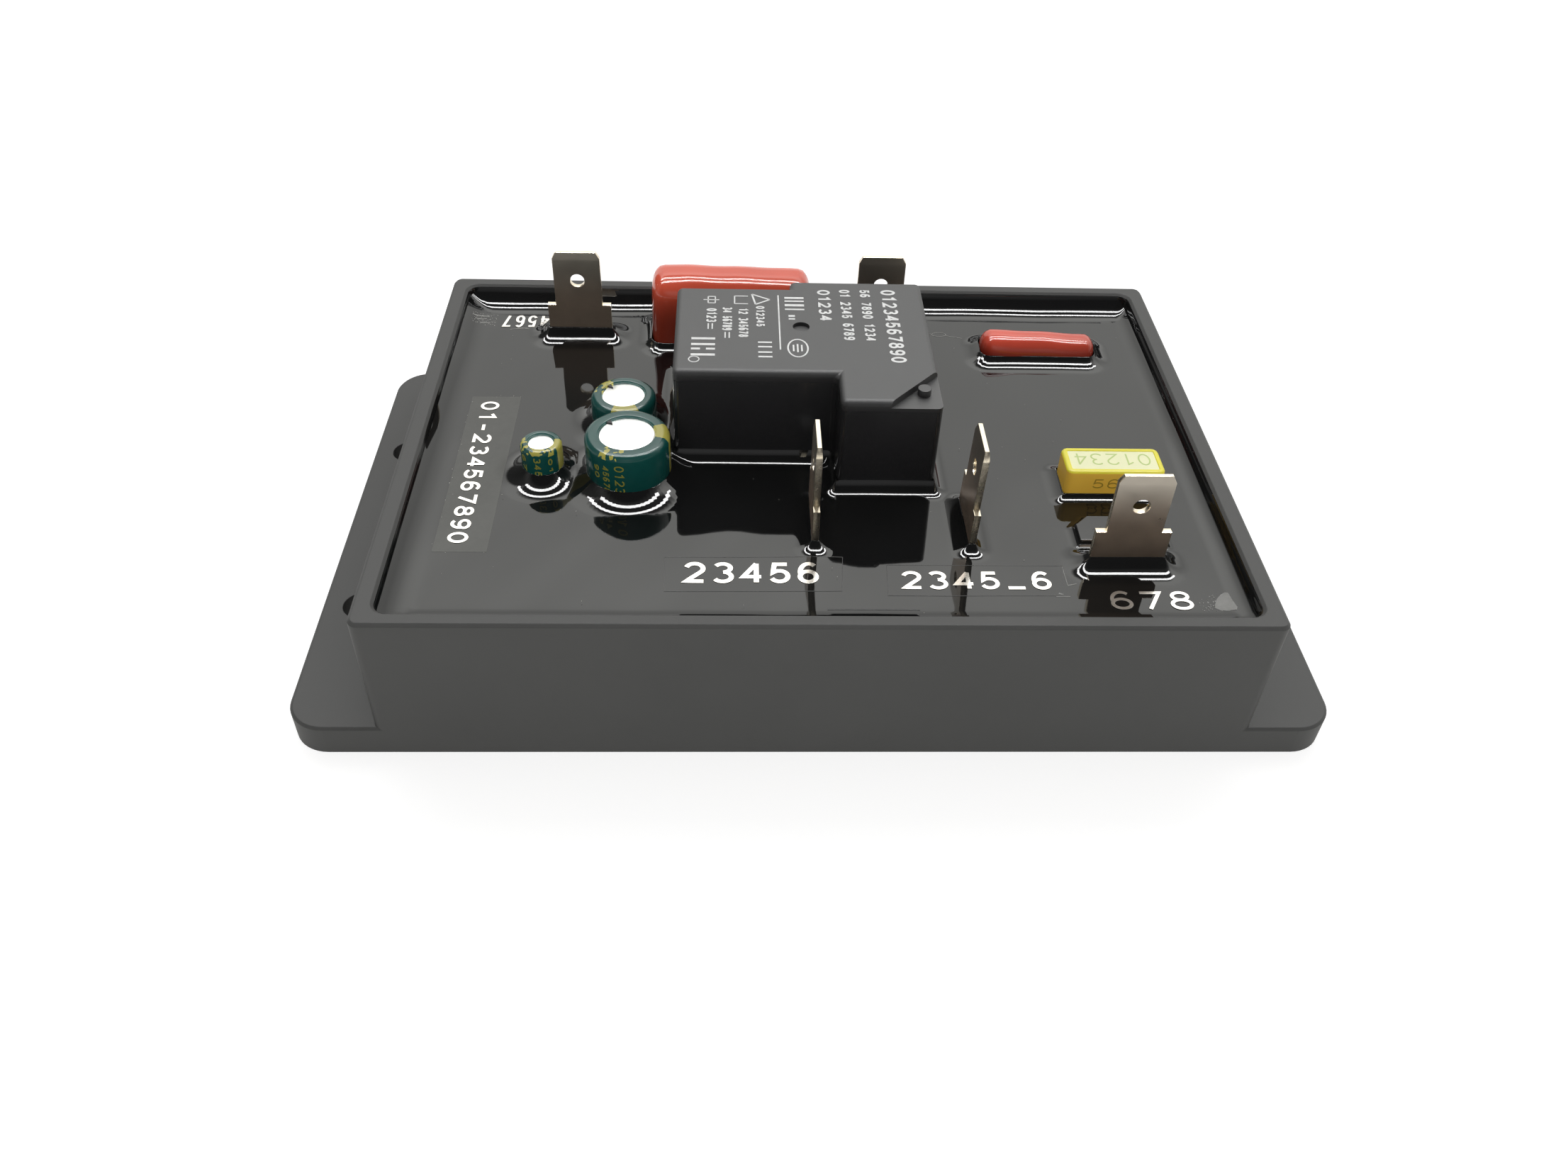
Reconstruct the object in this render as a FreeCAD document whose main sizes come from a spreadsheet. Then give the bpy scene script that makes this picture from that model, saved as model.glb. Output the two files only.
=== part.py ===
import FreeCAD, Part

import math
import os
import re

import Sketcher
from FreeCAD import Vector

# A potted compressor soft starter. Millimetres, X along the tray, Y to the rear, Z up.
# The origin is the centre of the underside.

doc = FreeCAD.newDocument("soft_starter")
sheet = doc.addObject("Spreadsheet::Sheet", "sizes")

SIZES = [
    # moulded tray
    ("body_length", 100.0),
    ("body_width", 71.6),
    ("body_height", 20.3),
    ("wall_side", 2.3),
    ("wall_end", 2.0),
    ("floor_thick", 2.0),
    ("outer_corner", 1.2),
    ("cavity_corner", 1.6),
    ("rim_bevel", 0.35),
    # screw flanges
    ("flange_reach", 10.2),
    ("flange_thick", 4.0),
    ("flange_corner", 4.5),
    ("flange_bevel", 0.3),
    ("screw_from_body", 5.5),
    ("screw_pitch_y", 31.5),
    ("screw_radius", 2.25),
    # posts that carry the board
    ("post_from_wall", 4.6),
    ("post_radius", 3.0),
    ("post_height", 6.9),
    # circuit board
    ("board_thick", 1.6),
    ("board_gap", 0.6),
    ("board_corner", 1.0),
    # potting resin
    ("resin_drop", 2.6),
    ("wall_climb", 1.4),
    ("piece_climb", 1.0),
    ("climb_reach", 1.35),
    ("feather", 0.12),
    ("knee_up", 0.32),
    ("knee_out", 0.35),
    # leads of the board's parts
    ("lead_radius", 0.3),
    ("lead_clearance", 0.15),
    ("lead_stub", 1.6),
    # relay
    ("relay_x", -1.3),
    ("relay_from_rear", 29.37),
    ("relay_length", 31.6),
    ("relay_depth", 27.46),
    ("relay_height", 20.0),
    ("relay_front_step", 5.92),
    ("relay_rear_step", 1.86),
    ("relay_front_leg", 11.9),
    ("relay_rear_leg", 17.1),
    ("relay_wall", 1.1),
    ("relay_corner", 0.8),
    ("relay_bevel", 0.6),
    ("relay_base_thick", 3.0),
    ("relay_notch_x", 6.2),
    ("relay_notch_y", 6.8),
    ("relay_notch_deep", 0.9),
    ("relay_nib_in_x", 2.0),
    ("relay_nib_in_y", 3.0),
    ("relay_nib_radius", 0.8),
    ("relay_nib_rise", 0.85),
    ("relay_dimple_x", -0.2),
    ("relay_dimple_y", 2.4),
    ("relay_dimple_radius", 1.05),
    ("relay_dimple_deep", 0.5),
    ("coil_pin_from_end", 2.8),
    ("coil_pin_y", 2.0),
    ("coil_pin_pitch", 12.6),
    ("coil_pin_wide", 0.9),
    ("coil_pin_thick", 0.6),
    ("contact_pin_from_end", 3.8),
    ("contact_pin_from_side", 3.53),
    ("contact_pin_wide", 2.6),
    ("contact_pin_thick", 0.8),
    # quick-connect tabs
    ("tab_blade_wide", 6.35),
    ("tab_blade_tall", 7.8),
    ("tab_thick", 0.8),
    ("tab_foot_wide", 8.6),
    ("tab_foot_tall", 12.3),
    ("tab_chamfer_wide", 0.5),
    ("tab_chamfer_tall", 0.9),
    ("tab_hole_radius", 0.95),
    ("tab_hole_drop", 4.1),
    ("tab_leg_wide", 1.2),
    ("tab_leg_pitch", 5.0),
    ("tab_rear_from_wall", 9.05),
    ("tab_rear_left_from_film", 5.4),
    ("tab_rear_centre_in", 4.3),
    ("tab_front_left_out", 3.0),
    ("tab_front_left_ahead", 8.02),
    ("tab_front_middle_out", 3.0),
    ("tab_front_middle_ahead", 2.5),
    ("tab_front_middle_lean", 1.5),
    ("tab_front_right_from_side", 8.3),
    ("tab_front_right_from_front", 11.1),
    # electrolytic capacitors
    ("sleeve_thick", 0.2),
    ("sleeve_round", 0.7),
    ("large_can_from_relay", 0.26),
    ("large_can_ahead", 11.46),
    ("large_can_radius", 5.1),
    ("large_can_tall", 13.7),
    ("large_can_disc", 3.4),
    ("large_can_pitch", 5.0),
    ("medium_can_from_relay", 2.5),
    ("medium_can_ahead", 0.38),
    ("medium_can_radius", 4.1),
    ("medium_can_tall", 11.7),
    ("medium_can_disc", 2.75),
    ("medium_can_pitch", 3.5),
    ("small_can_from_large", 2.74),
    ("small_can_behind", 0.46),
    ("small_can_radius", 2.5),
    ("small_can_tall", 11.4),
    ("small_can_disc", 1.6),
    ("small_can_pitch", 2.0),
    # red dipped film capacitors
    ("large_film_in", 6.6),
    ("large_film_from_rear", 4.8),
    ("large_film_long", 21.6),
    ("large_film_thick", 7.4),
    ("large_film_tall", 16.6),
    ("large_film_round", 2.4),
    ("large_film_pitch", 17.5),
    ("large_film_tilt", 1.2),
    ("small_film_from_side", 7.8),
    ("small_film_from_rear", 9.9),
    ("small_film_long", 15.6),
    ("small_film_thick", 4.6),
    ("small_film_tall", 9.5),
    ("small_film_round", 1.7),
    ("small_film_pitch", 12.5),
    ("small_film_tilt", 2.4),
    ("film_foot_bevel", 0.9),
    ("film_lift", 0.8),
    ("film_lead_grip", 2.0),
    # yellow box film capacitor
    ("box_from_side", 5.5),
    ("box_from_fuse", 4.55),
    ("box_long", 12.0),
    ("box_thick", 5.0),
    ("box_tall", 11.2),
    ("box_wall", 0.6),
    ("box_bevel", 0.4),
    ("box_pitch", 10.0),
    # square fuse block
    ("fuse_from_side", 7.1),
    ("fuse_from_tab", 2.5),
    ("fuse_long", 10.2),
    ("fuse_thick", 4.6),
    ("fuse_tall", 8.3),
    ("fuse_chamfer", 1.6),
    ("fuse_bevel", 0.3),
    ("fuse_pitch", 5.08),
    # bridge rectifier
    ("bridge_from_relay", 3.3),
    ("bridge_ahead", 1.0),
    ("bridge_long", 8.5),
    ("bridge_wide", 6.5),
    ("bridge_tall", 3.3),
    # controller chip
    ("chip_from_relay", 6.3),
    ("chip_behind", 12.2),
    ("chip_long", 9.4),
    ("chip_wide", 6.4),
    ("chip_tall", 3.3),
    ("chip_lift", 0.5),
    ("chip_pitch", 2.54),
    ("chip_row", 7.62),
    ("chip_leg_wide", 0.5),
    ("chip_leg_thick", 0.3),
    ("chip_leg_up", 2.0),
    # driver transistor
    ("driver_from_can", 0.8),
    ("driver_ahead", 1.0),
    ("driver_radius", 2.4),
    ("driver_flat", 1.3),
    ("driver_tall", 4.6),
    ("driver_lift", 1.4),
    ("driver_pitch", 1.27),
    ("driver_lead_radius", 0.22),
    # diodes and resistors, lying on the board
    ("axial_lift", 0.5),
    ("axial_run", 1.6),
    ("diode_radius", 1.3),
    ("diode_long", 4.8),
    ("flyback_in", 6.1),
    ("flyback_ahead", 12.6),
    ("zener_out", 1.5),
    ("zener_ahead", 5.6),
    ("resistor_radius", 2.2),
    ("resistor_long", 11.0),
    ("dropper_from_relay", 4.0),
    ("dropper_behind", 7.6),
    ("bleeder_from_driver", 0.6),
    ("bleeder_behind", 3.6),
]

for row, (alias, size) in enumerate(SIZES, start=1):
    sheet.set(f"A{row}", alias.replace("_", " "))
    sheet.set(f"B{row}", str(size))
    sheet.setAlias(f"B{row}", alias)
doc.recompute()

ALIASES = {alias for alias, size in SIZES}
BOARD_TOP = "(floor_thick + post_height + board_thick)"
RESIN_LEVEL = "(body_height - resin_drop)"
RESIN_ABOVE_BOARD = f"({RESIN_LEVEL} - {BOARD_TOP})"
CAVITY_X = "(body_length / 2 - wall_side)"
CAVITY_Y = "(body_width / 2 - wall_end)"
LEAD_END = "(board_thick + lead_stub)"

# Places: the relay keeps its distance from the rear wall, and the other pieces from a wall or from it
RELAY_Y = f"({CAVITY_Y} - relay_from_rear)"
RELAY_LEFT = "(relay_x - relay_length / 2)"
RELAY_RIGHT = "(relay_x + relay_length / 2)"
RELAY_FRONT = f"({RELAY_Y} - relay_depth / 2)"
LARGE_CAN = (f"({RELAY_LEFT} - large_can_from_relay - large_can_radius)", f"({RELAY_Y} - large_can_ahead)")
MEDIUM_CAN = (f"({RELAY_LEFT} - medium_can_from_relay - medium_can_radius)",
              f"({RELAY_Y} - medium_can_ahead)")
SMALL_CAN = (f"({LARGE_CAN[0]} - large_can_radius - small_can_from_large - small_can_radius)",
             f"({LARGE_CAN[1]} + small_can_behind)")
LARGE_FILM = (f"({RELAY_LEFT} + large_film_in)",
              f"({CAVITY_Y} - large_film_from_rear - large_film_thick / 2)")
SMALL_FILM = (f"({CAVITY_X} - small_film_from_side - small_film_long / 2)",
              f"({CAVITY_Y} - small_film_from_rear - small_film_thick / 2)")
TAB_REAR_Y = f"({CAVITY_Y} - tab_rear_from_wall)"
TAB_REAR_LEFT = (f"({LARGE_FILM[0]} - large_film_long / 2 - tab_rear_left_from_film - tab_foot_wide / 2)",
                 TAB_REAR_Y)
TAB_REAR_CENTRE = (f"({RELAY_RIGHT} - tab_rear_centre_in)", TAB_REAR_Y)
TAB_FRONT_LEFT = (f"({RELAY_RIGHT} - relay_front_leg - tab_front_left_out)",
                  f"({RELAY_FRONT} + relay_front_step - tab_front_left_ahead - tab_foot_wide / 2)")
TAB_FRONT_MIDDLE = (f"({RELAY_RIGHT} + tab_front_middle_out)",
                    f"({RELAY_FRONT} - tab_front_middle_ahead - tab_foot_wide / 2)")
TAB_FRONT_RIGHT = (f"({CAVITY_X} - tab_front_right_from_side - tab_foot_wide / 2)",
                   f"(tab_front_right_from_front - {CAVITY_Y})")
FUSE = (f"({CAVITY_X} - fuse_from_side - fuse_long / 2)",
        f"({TAB_FRONT_RIGHT[1]} + tab_thick / 2 + fuse_from_tab + fuse_thick / 2)")
BOX = (f"({CAVITY_X} - box_from_side - box_long / 2)",
       f"({FUSE[1]} + fuse_thick / 2 + box_from_fuse + box_thick / 2)")
BRIDGE = (f"({RELAY_RIGHT} + bridge_from_relay + bridge_long / 2)", f"({RELAY_Y} - bridge_ahead)")
CHIP = (f"({RELAY_LEFT} - chip_from_relay - chip_long / 2)", f"({RELAY_Y} + chip_behind)")
DRIVER = (f"({MEDIUM_CAN[0]} - medium_can_radius - driver_from_can - driver_radius)",
          f"({MEDIUM_CAN[1]} - driver_ahead)")
FLYBACK = (f"({RELAY_LEFT} + flyback_in)", f"({RELAY_FRONT} + relay_front_step - flyback_ahead)")
ZENER = (f"({LARGE_CAN[0]} - zener_out)", f"({LARGE_CAN[1]} - large_can_radius - zener_ahead - diode_radius)")
DROPPER = (f"({RELAY_RIGHT} + dropper_from_relay + resistor_long / 2)", f"({RELAY_Y} + dropper_behind)")
BLEEDER = (f"({DRIVER[0]} - driver_radius - bleeder_from_driver - resistor_radius)",
           f"({RELAY_Y} + bleeder_behind)")
NEAR = 1e-4
WIRE_SIDES = 4
ROD_SIDES = 8
FOUR_CORNERS = [(-1, -1), (1, -1), (1, 1), (-1, 1)]

NODES = {}
EMBEDDED = []
SKIRTS = []
LEAD_HOLES = []


def linked(text):
    """An expression in which every size is read from the sheet."""
    def from_sheet(found):
        return "sizes." + found[0] if found[0] in ALIASES else found[0]
    return re.sub(r"[a-z_]+", from_sheet, text)


def bind(made, name, text):
    made.setExpression(name, linked(text))


def amount(text):
    return float(sheet.evalExpression(linked(text)))


def place(made, x="0", y="0", z=BOARD_TOP, turn="0", tilt="0"):
    """Where a piece stands: turned about Z, then tilted to its right about its foot."""
    made.setExpression("Placement", linked(
        f"create(<<placement>>; create(<<vector>>; {x}; {y}; {z}); "
        f"create(<<rotation>>; create(<<vector>>; 0; 1; 0); {tilt}) * "
        f"create(<<rotation>>; create(<<vector>>; 0; 0; 1); {turn}))"))


def new_body(name):
    return doc.addObject("PartDesign::Body", name)


def keep(name, made, embedded=True):
    """Files a finished piece under its own name."""
    made.Label = name
    NODES[name] = made
    if embedded:
        EMBEDDED.append(made)
    return made


def new_sketch(owner, role="XY_Plane", lift=None):
    made = owner.newObject("Sketcher::SketchObject", "sketch")
    plane = next(item for item in owner.Origin.OriginFeatures if item.Role == role)
    made.AttachmentSupport = [(plane, "")]
    made.MapMode = "FlatFace"
    if lift:
        bind(made, "AttachmentOffset.Base.z", lift)
    return made


def pin_down(made, geometry, corner, axis, text):
    """Ties one point's X or Y to the sheet."""
    number = made.addConstraint(Sketcher.Constraint("Distance" + axis, geometry, corner, amount(text)))
    made.setExpression(f"Constraints[{number}]", linked(text))


def draw_outline(made, corners):
    """A closed outline of straight lines through corners that the sheet places."""
    spots = [Vector(amount(x), amount(y), 0) for x, y in corners]
    first = made.GeometryCount
    count = len(spots)
    for index in range(count):
        made.addGeometry(Part.LineSegment(spots[index], spots[(index + 1) % count]), False)
    for index in range(count):
        after = first + (index + 1) % count
        made.addConstraint(Sketcher.Constraint("Coincident", first + index, 2, after, 1))
    for index, (x, y) in enumerate(corners):
        pin_down(made, first + index, 1, "X", x)
        pin_down(made, first + index, 1, "Y", y)


def draw_circle(made, x, y, radius):
    spot = Vector(amount(x), amount(y), 0)
    number = made.addGeometry(Part.Circle(spot, Vector(0, 0, 1), amount(radius)), False)
    pin_down(made, number, 3, "X", x)
    pin_down(made, number, 3, "Y", y)
    size = made.addConstraint(Sketcher.Constraint("Radius", number, amount(radius)))
    made.setExpression(f"Constraints[{size}]", linked(radius))


def draw_rounded(made, half_x, half_y, radius):
    """A rectangle round the centre with four rounded corners."""
    stops = []
    for sign_x, sign_y in FOUR_CORNERS:
        flat_x = (f"{sign_x} * ({half_x} - {radius})", f"{sign_y} * {half_y}")
        flat_y = (f"{sign_x} * {half_x}", f"{sign_y} * ({half_y} - {radius})")
        stops += [flat_x, flat_y] if sign_x == -sign_y else [flat_y, flat_x]
    for number in range(4):
        start, end = stops[2 * number + 1], stops[(2 * number + 2) % 8]
        line = made.addGeometry(Part.LineSegment(Vector(amount(start[0]), amount(start[1]), 0),
                                                 Vector(amount(end[0]), amount(end[1]), 0)), False)
        for corner, (x, y) in ((1, start), (2, end)):
            pin_down(made, line, corner, "X", x)
            pin_down(made, line, corner, "Y", y)
    size = amount(radius)
    for number, (sign_x, sign_y) in enumerate(FOUR_CORNERS):
        middle = Vector(sign_x * (amount(half_x) - size), sign_y * (amount(half_y) - size), 0)
        turn = math.pi * (1 + number / 2)
        arc = made.addGeometry(Part.ArcOfCircle(Part.Circle(middle, Vector(0, 0, 1), size),
                                                turn, turn + math.pi / 2), False)
        made.addConstraint(Sketcher.Constraint("Coincident", arc, 1, (number + 3) % 4, 2))
        made.addConstraint(Sketcher.Constraint("Coincident", arc, 2, number, 1))
        held = made.addConstraint(Sketcher.Constraint("Radius", arc, size))
        made.setExpression(f"Constraints[{held}]", linked(radius))


def draw_many_sided(made, x, y, radius, sides):
    """A round section that the resin hides, drawn with a few flat sides."""
    corners = [360 * n / sides for n in range(sides)]
    draw_outline(made, [(f"{x} + ({radius}) * cos({turn})", f"{y} + ({radius}) * sin({turn})")
                        for turn in corners])


def rectangle(half_x, half_y, x="0", y="0"):
    """Corners of a rectangle, anticlockwise from the front left."""
    return [(f"{x} - {half_x}", f"{y} - {half_y}"), (f"{x} + {half_x}", f"{y} - {half_y}"),
            (f"{x} + {half_x}", f"{y} + {half_y}"), (f"{x} - {half_x}", f"{y} + {half_y}")]


def bevelled(half_x, half_y, corner):
    """The same rectangle with its corners cut off where a round corner would bulge most."""
    cut = f"({2 - math.sqrt(2)} * {corner})"
    near_x = f"({half_x} - {cut})"
    near_y = f"({half_y} - {cut})"
    return [(f"-{near_x}", f"-{half_y}"), (near_x, f"-{half_y}"), (half_x, f"-{near_y}"), (half_x, near_y),
            (near_x, half_y), (f"-{near_x}", half_y), (f"-{half_x}", near_y), (f"-{half_x}", f"-{near_y}")]


def pad(owner, outline, length, down=False, middle=False):
    made = owner.newObject("PartDesign::Pad", "pad")
    made.Profile = outline
    made.Reversed = down
    made.Midplane = middle
    bind(made, "Length", length)
    return made


def pocket(owner, outline, length, up=False, middle=False):
    made = owner.newObject("PartDesign::Pocket", "pocket")
    made.Profile = outline
    made.Reversed = up
    made.Midplane = middle
    bind(made, "Length", length)
    return made


FILLET = "PartDesign::Fillet"
BEVEL = "PartDesign::Chamfer"


def round_edges(owner, base, wanted, radius, kind=FILLET):
    """Rounds or bevels the edges of a feature that pass a test."""
    doc.recompute()
    edges = [f"Edge{n}" for n, edge in enumerate(base.Shape.Edges, start=1) if wanted(edge)]
    made = owner.newObject(kind, "edge_finish")
    made.Base = (base, edges)
    bind(made, "Radius" if kind == FILLET else "Size", radius)
    return made


def spans(edge):
    box = edge.BoundBox
    return box.XLength, box.YLength, box.ZLength


def upright(edge):
    x, y, z = spans(edge)
    return x < NEAR and y < NEAR and z > NEAR


def at_height(edge, height):
    box = edge.BoundBox
    return abs(box.ZMin - height) < NEAR and abs(box.ZMax - height) < NEAR


def corners_of(sign_x, sign_y, x, y):
    return f"{sign_x} * ({x})", f"{sign_y} * ({y})"


# The tray: one moulding with two screw flanges, four holes and four board posts
tray = new_body("case_tray")
flange_sketch = new_sketch(tray)
draw_rounded(flange_sketch, "(body_length / 2 + flange_reach)", "(body_width / 2)", "flange_corner")
flange_plate = pad(tray, flange_sketch, "flange_thick")
flange_top = amount("flange_thick")
round_edges(tray, flange_plate, lambda edge: at_height(edge, flange_top), "flange_bevel", BEVEL)
body_sketch = new_sketch(tray)
draw_rounded(body_sketch, "(body_length / 2)", "(body_width / 2)", "outer_corner")
pad(tray, body_sketch, "body_height")
cavity_sketch = new_sketch(tray, lift="body_height")
draw_rounded(cavity_sketch, CAVITY_X, CAVITY_Y, "cavity_corner")
cavity = pocket(tray, cavity_sketch, "body_height - floor_thick")
rim_top = amount("body_height")
round_edges(tray, cavity, lambda edge: at_height(edge, rim_top), "rim_bevel", BEVEL)

post_sketch = new_sketch(tray, lift="floor_thick")
hole_sketch = new_sketch(tray)
for sign_x, sign_y in FOUR_CORNERS:
    post = corners_of(sign_x, sign_y, CAVITY_X + " - post_from_wall", CAVITY_Y + " - post_from_wall")
    screw = corners_of(sign_x, sign_y, "body_length / 2 + screw_from_body", "screw_pitch_y / 2")
    draw_circle(post_sketch, *post, "post_radius")
    draw_circle(hole_sketch, *screw, "screw_radius")
pad(tray, post_sketch, "post_height")
pocket(tray, hole_sketch, "flange_thick", up=True)
doc.recompute()
keep("case_tray", tray)


# Relay: sealed T-shaped cover over a moulded base, two coil pins and three contact pins
def relay_outline(grow):
    """The T seen from above, grown outwards all round."""
    half_x = "(relay_length / 2)"
    half_y = "(relay_depth / 2)"
    return [
        (f"-{half_x} - {grow}", f"-{half_y} + relay_front_step - {grow}"),
        (f"{half_x} - relay_front_leg - {grow}", f"-{half_y} + relay_front_step - {grow}"),
        (f"{half_x} - relay_front_leg - {grow}", f"-{half_y} - {grow}"),
        (f"{half_x} + {grow}", f"-{half_y} - {grow}"),
        (f"{half_x} + {grow}", f"{half_y} + {grow}"),
        (f"{half_x} - relay_rear_leg - {grow}", f"{half_y} + {grow}"),
        (f"{half_x} - relay_rear_leg - {grow}", f"{half_y} - relay_rear_step + {grow}"),
        (f"-{half_x} - {grow}", f"{half_y} - relay_rear_step + {grow}"),
    ]


RELAY_PLACE = dict(x="relay_x", y=RELAY_Y)
relay_cover = new_body("relay_cover")
cover_sketch = new_sketch(relay_cover)
draw_outline(cover_sketch, relay_outline("0"))
cover_block = pad(relay_cover, cover_sketch, "relay_height")
cover_block = round_edges(relay_cover, cover_block, upright, "relay_corner")
relay_top = amount("relay_height")
round_edges(relay_cover, cover_block, lambda edge: at_height(edge, relay_top), "relay_bevel", BEVEL)

notch_sketch = new_sketch(relay_cover, lift="relay_height")
notch_x = "(relay_length / 2)"
notch_y = "(-relay_depth / 2)"
draw_outline(notch_sketch, [
    (f"{notch_x} - relay_notch_x - relay_wall", f"{notch_y} - relay_wall * relay_notch_y / relay_notch_x"),
    (f"{notch_x} + relay_wall", f"{notch_y} - relay_wall * relay_notch_y / relay_notch_x"),
    (f"{notch_x} + relay_wall", f"{notch_y} + relay_notch_y + relay_wall * relay_notch_y / relay_notch_x"),
])
pocket(relay_cover, notch_sketch, "relay_notch_deep")
nib_sketch = new_sketch(relay_cover, lift="relay_height - relay_notch_deep - relay_wall")
draw_circle(nib_sketch, f"{notch_x} - relay_nib_in_x", f"{notch_y} + relay_nib_in_y", "relay_nib_radius")
pad(relay_cover, nib_sketch, "relay_wall + relay_nib_rise")
dimple_sketch = new_sketch(relay_cover, lift="relay_height")
draw_circle(dimple_sketch, "relay_dimple_x", "relay_dimple_y", "relay_dimple_radius")
pocket(relay_cover, dimple_sketch, "relay_dimple_deep")
mouth_sketch = new_sketch(relay_cover)
draw_outline(mouth_sketch, relay_outline("-relay_wall"))
pocket(relay_cover, mouth_sketch, "relay_base_thick", up=True)
place(relay_cover, **RELAY_PLACE)
keep("relay_cover", relay_cover)

COIL_PINS = [("(coil_pin_from_end - relay_length / 2)", f"coil_pin_y + {sign} * coil_pin_pitch / 2")
             for sign in (-1, 1)]
CONTACT_PINS = [("(relay_length / 2 - contact_pin_from_end)",
                 f"{sign} * (relay_depth / 2 - contact_pin_from_side)") for sign in (-1, 0, 1)]


def relay_pins(name, spots, wide, thick):
    made = new_body(name)
    outline = new_sketch(made, lift="relay_base_thick")
    for x, y in spots:
        draw_outline(outline, rectangle(f"{thick} / 2", f"{wide} / 2", x, y))
    pad(made, outline, f"relay_base_thick + {LEAD_END}", down=True)
    place(made, **RELAY_PLACE)
    return keep(name, made)


def lead_holes(place_at, round_leads=(), flat_leads=()):
    """The holes that a part's leads need in the board, as a tool that stands where the part does."""
    made = new_body("lead_holes")
    outline = new_sketch(made)
    for x, y, radius in round_leads:
        draw_many_sided(outline, x, y, f"{radius} + lead_clearance", WIRE_SIDES)
    for x, y, half_x, half_y in flat_leads:
        draw_outline(outline, rectangle(f"({half_x} + lead_clearance)", f"({half_y} + lead_clearance)", x, y))
    pad(made, outline, "board_thick", down=True)
    place(made, **place_at)
    LEAD_HOLES.append(made)


coil_pins = relay_pins("relay_coil_pins", COIL_PINS, "coil_pin_wide", "coil_pin_thick")
contact_pins = relay_pins("relay_contact_pins", CONTACT_PINS, "contact_pin_wide", "contact_pin_thick")
lead_holes(RELAY_PLACE, flat_leads=[(x, y, "coil_pin_thick / 2", "coil_pin_wide / 2") for x, y in COIL_PINS]
           + [(x, y, "contact_pin_thick / 2", "contact_pin_wide / 2") for x, y in CONTACT_PINS])

base_block = new_body("relay_base_block")
base_sketch = new_sketch(base_block)
draw_outline(base_sketch, relay_outline("-relay_wall"))
pad(base_block, base_sketch, "relay_base_thick")
place(base_block, **RELAY_PLACE)
pins_through_base = doc.addObject("Part::MultiFuse", "pins_through_base")
pins_through_base.Shapes = [coil_pins, contact_pins]
relay_base = doc.addObject("Part::Cut", "relay_base")
relay_base.Base = base_block
relay_base.Tool = pins_through_base
keep("relay_base", relay_base)


def hollow_climb(made, draw, level, climb, inward=False):
    """Resin that creeps up a wall, as a hollow slope through three outlines.

    draw(sketch, grow) draws the wall's outline, grown away from the wall.
    """
    steps = [("climb_reach", level), (f"(feather + knee_out * climb_reach)", f"{level} + knee_up * {climb}"),
             ("feather", f"{level} + {climb}")]
    outlines = []
    for grow, height in steps:
        outline = new_sketch(made, lift=height)
        draw(outline, grow)
        outlines.append(outline)
    kind = "PartDesign::SubtractiveLoft" if inward else "PartDesign::AdditiveLoft"
    slope = made.newObject(kind, "hollow_slope")
    slope.Profile = outlines[0]
    slope.Sections = outlines[1:]
    slope.Ruled = True
    return slope


def skirt(place_at, draw):
    """The resin that climbs a piece, down to a root below the resin's level."""
    made = new_body("resin_skirt")
    root = new_sketch(made, lift=RESIN_ABOVE_BOARD)
    draw(root, "climb_reach")
    pad(made, root, "piece_climb", down=True)
    hollow_climb(made, draw, RESIN_ABOVE_BOARD, "piece_climb")
    place(made, **place_at)
    SKIRTS.append(made)


def box_outline(half_x, half_y):
    def draw(made, grow):
        draw_outline(made, rectangle(f"({half_x} + {grow})", f"({half_y} + {grow})"))
    return draw


def round_outline(radius):
    def draw(made, grow):
        draw_circle(made, "0", "0", f"{radius} + {grow}")
    return draw


skirt(RELAY_PLACE, lambda made, grow: draw_outline(made, relay_outline(grow)))


# Quick-connect tabs: stamped blades with a shouldered foot and two legs through the board
def quick_connect_tab(name, x, y, turn="0", lean="0"):
    blade = "(tab_blade_wide / 2)"
    foot = "(tab_foot_wide / 2)"
    leg_out = "(tab_leg_pitch / 2 + tab_leg_wide / 2)"
    leg_in = "(tab_leg_pitch / 2 - tab_leg_wide / 2)"
    top = "(tab_foot_tall + tab_blade_tall)"
    half = [
        (foot, "0"), (foot, "tab_foot_tall"), (blade, "tab_foot_tall"),
        (blade, f"{top} - tab_chamfer_tall"), (f"{blade} - tab_chamfer_wide", top),
    ]
    legs = [(leg_in, "0"), (leg_in, f"-{LEAD_END}"), (leg_out, f"-{LEAD_END}"), (leg_out, "0")]
    right = legs + half
    left = [(f"-{across}", up) for across, up in reversed(right)]
    made = new_body(name)
    outline = new_sketch(made, "XZ_Plane")
    draw_outline(outline, right + left)
    pad(made, outline, "tab_thick", middle=True)
    hole = new_sketch(made, "XZ_Plane")
    draw_circle(hole, "0", f"{top} - tab_hole_drop", "tab_hole_radius")
    pocket(made, hole, "2 * tab_thick", middle=True)
    place_at = dict(x=x, y=y, z=f"{BOARD_TOP} + tab_thick * sin({lean})", turn=turn, tilt=lean)
    place(made, **place_at)
    keep(name, made)
    upright_place = dict(x=x, y=y, turn=turn)
    legs_at = [(f"{sign} * tab_leg_pitch / 2", "0", "tab_leg_wide / 2", "tab_thick / 2") for sign in (-1, 1)]
    lead_holes(upright_place, flat_leads=legs_at)
    skirt(place_at, box_outline("tab_foot_wide / 2", "tab_thick / 2"))


quick_connect_tab("tab_rear_left", *TAB_REAR_LEFT)
quick_connect_tab("tab_rear_centre", *TAB_REAR_CENTRE)
quick_connect_tab("tab_front_left", *TAB_FRONT_LEFT, turn="90")
quick_connect_tab("tab_front_middle", *TAB_FRONT_MIDDLE, turn="90", lean="tab_front_middle_lean")
quick_connect_tab("tab_front_right", *TAB_FRONT_RIGHT)


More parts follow.
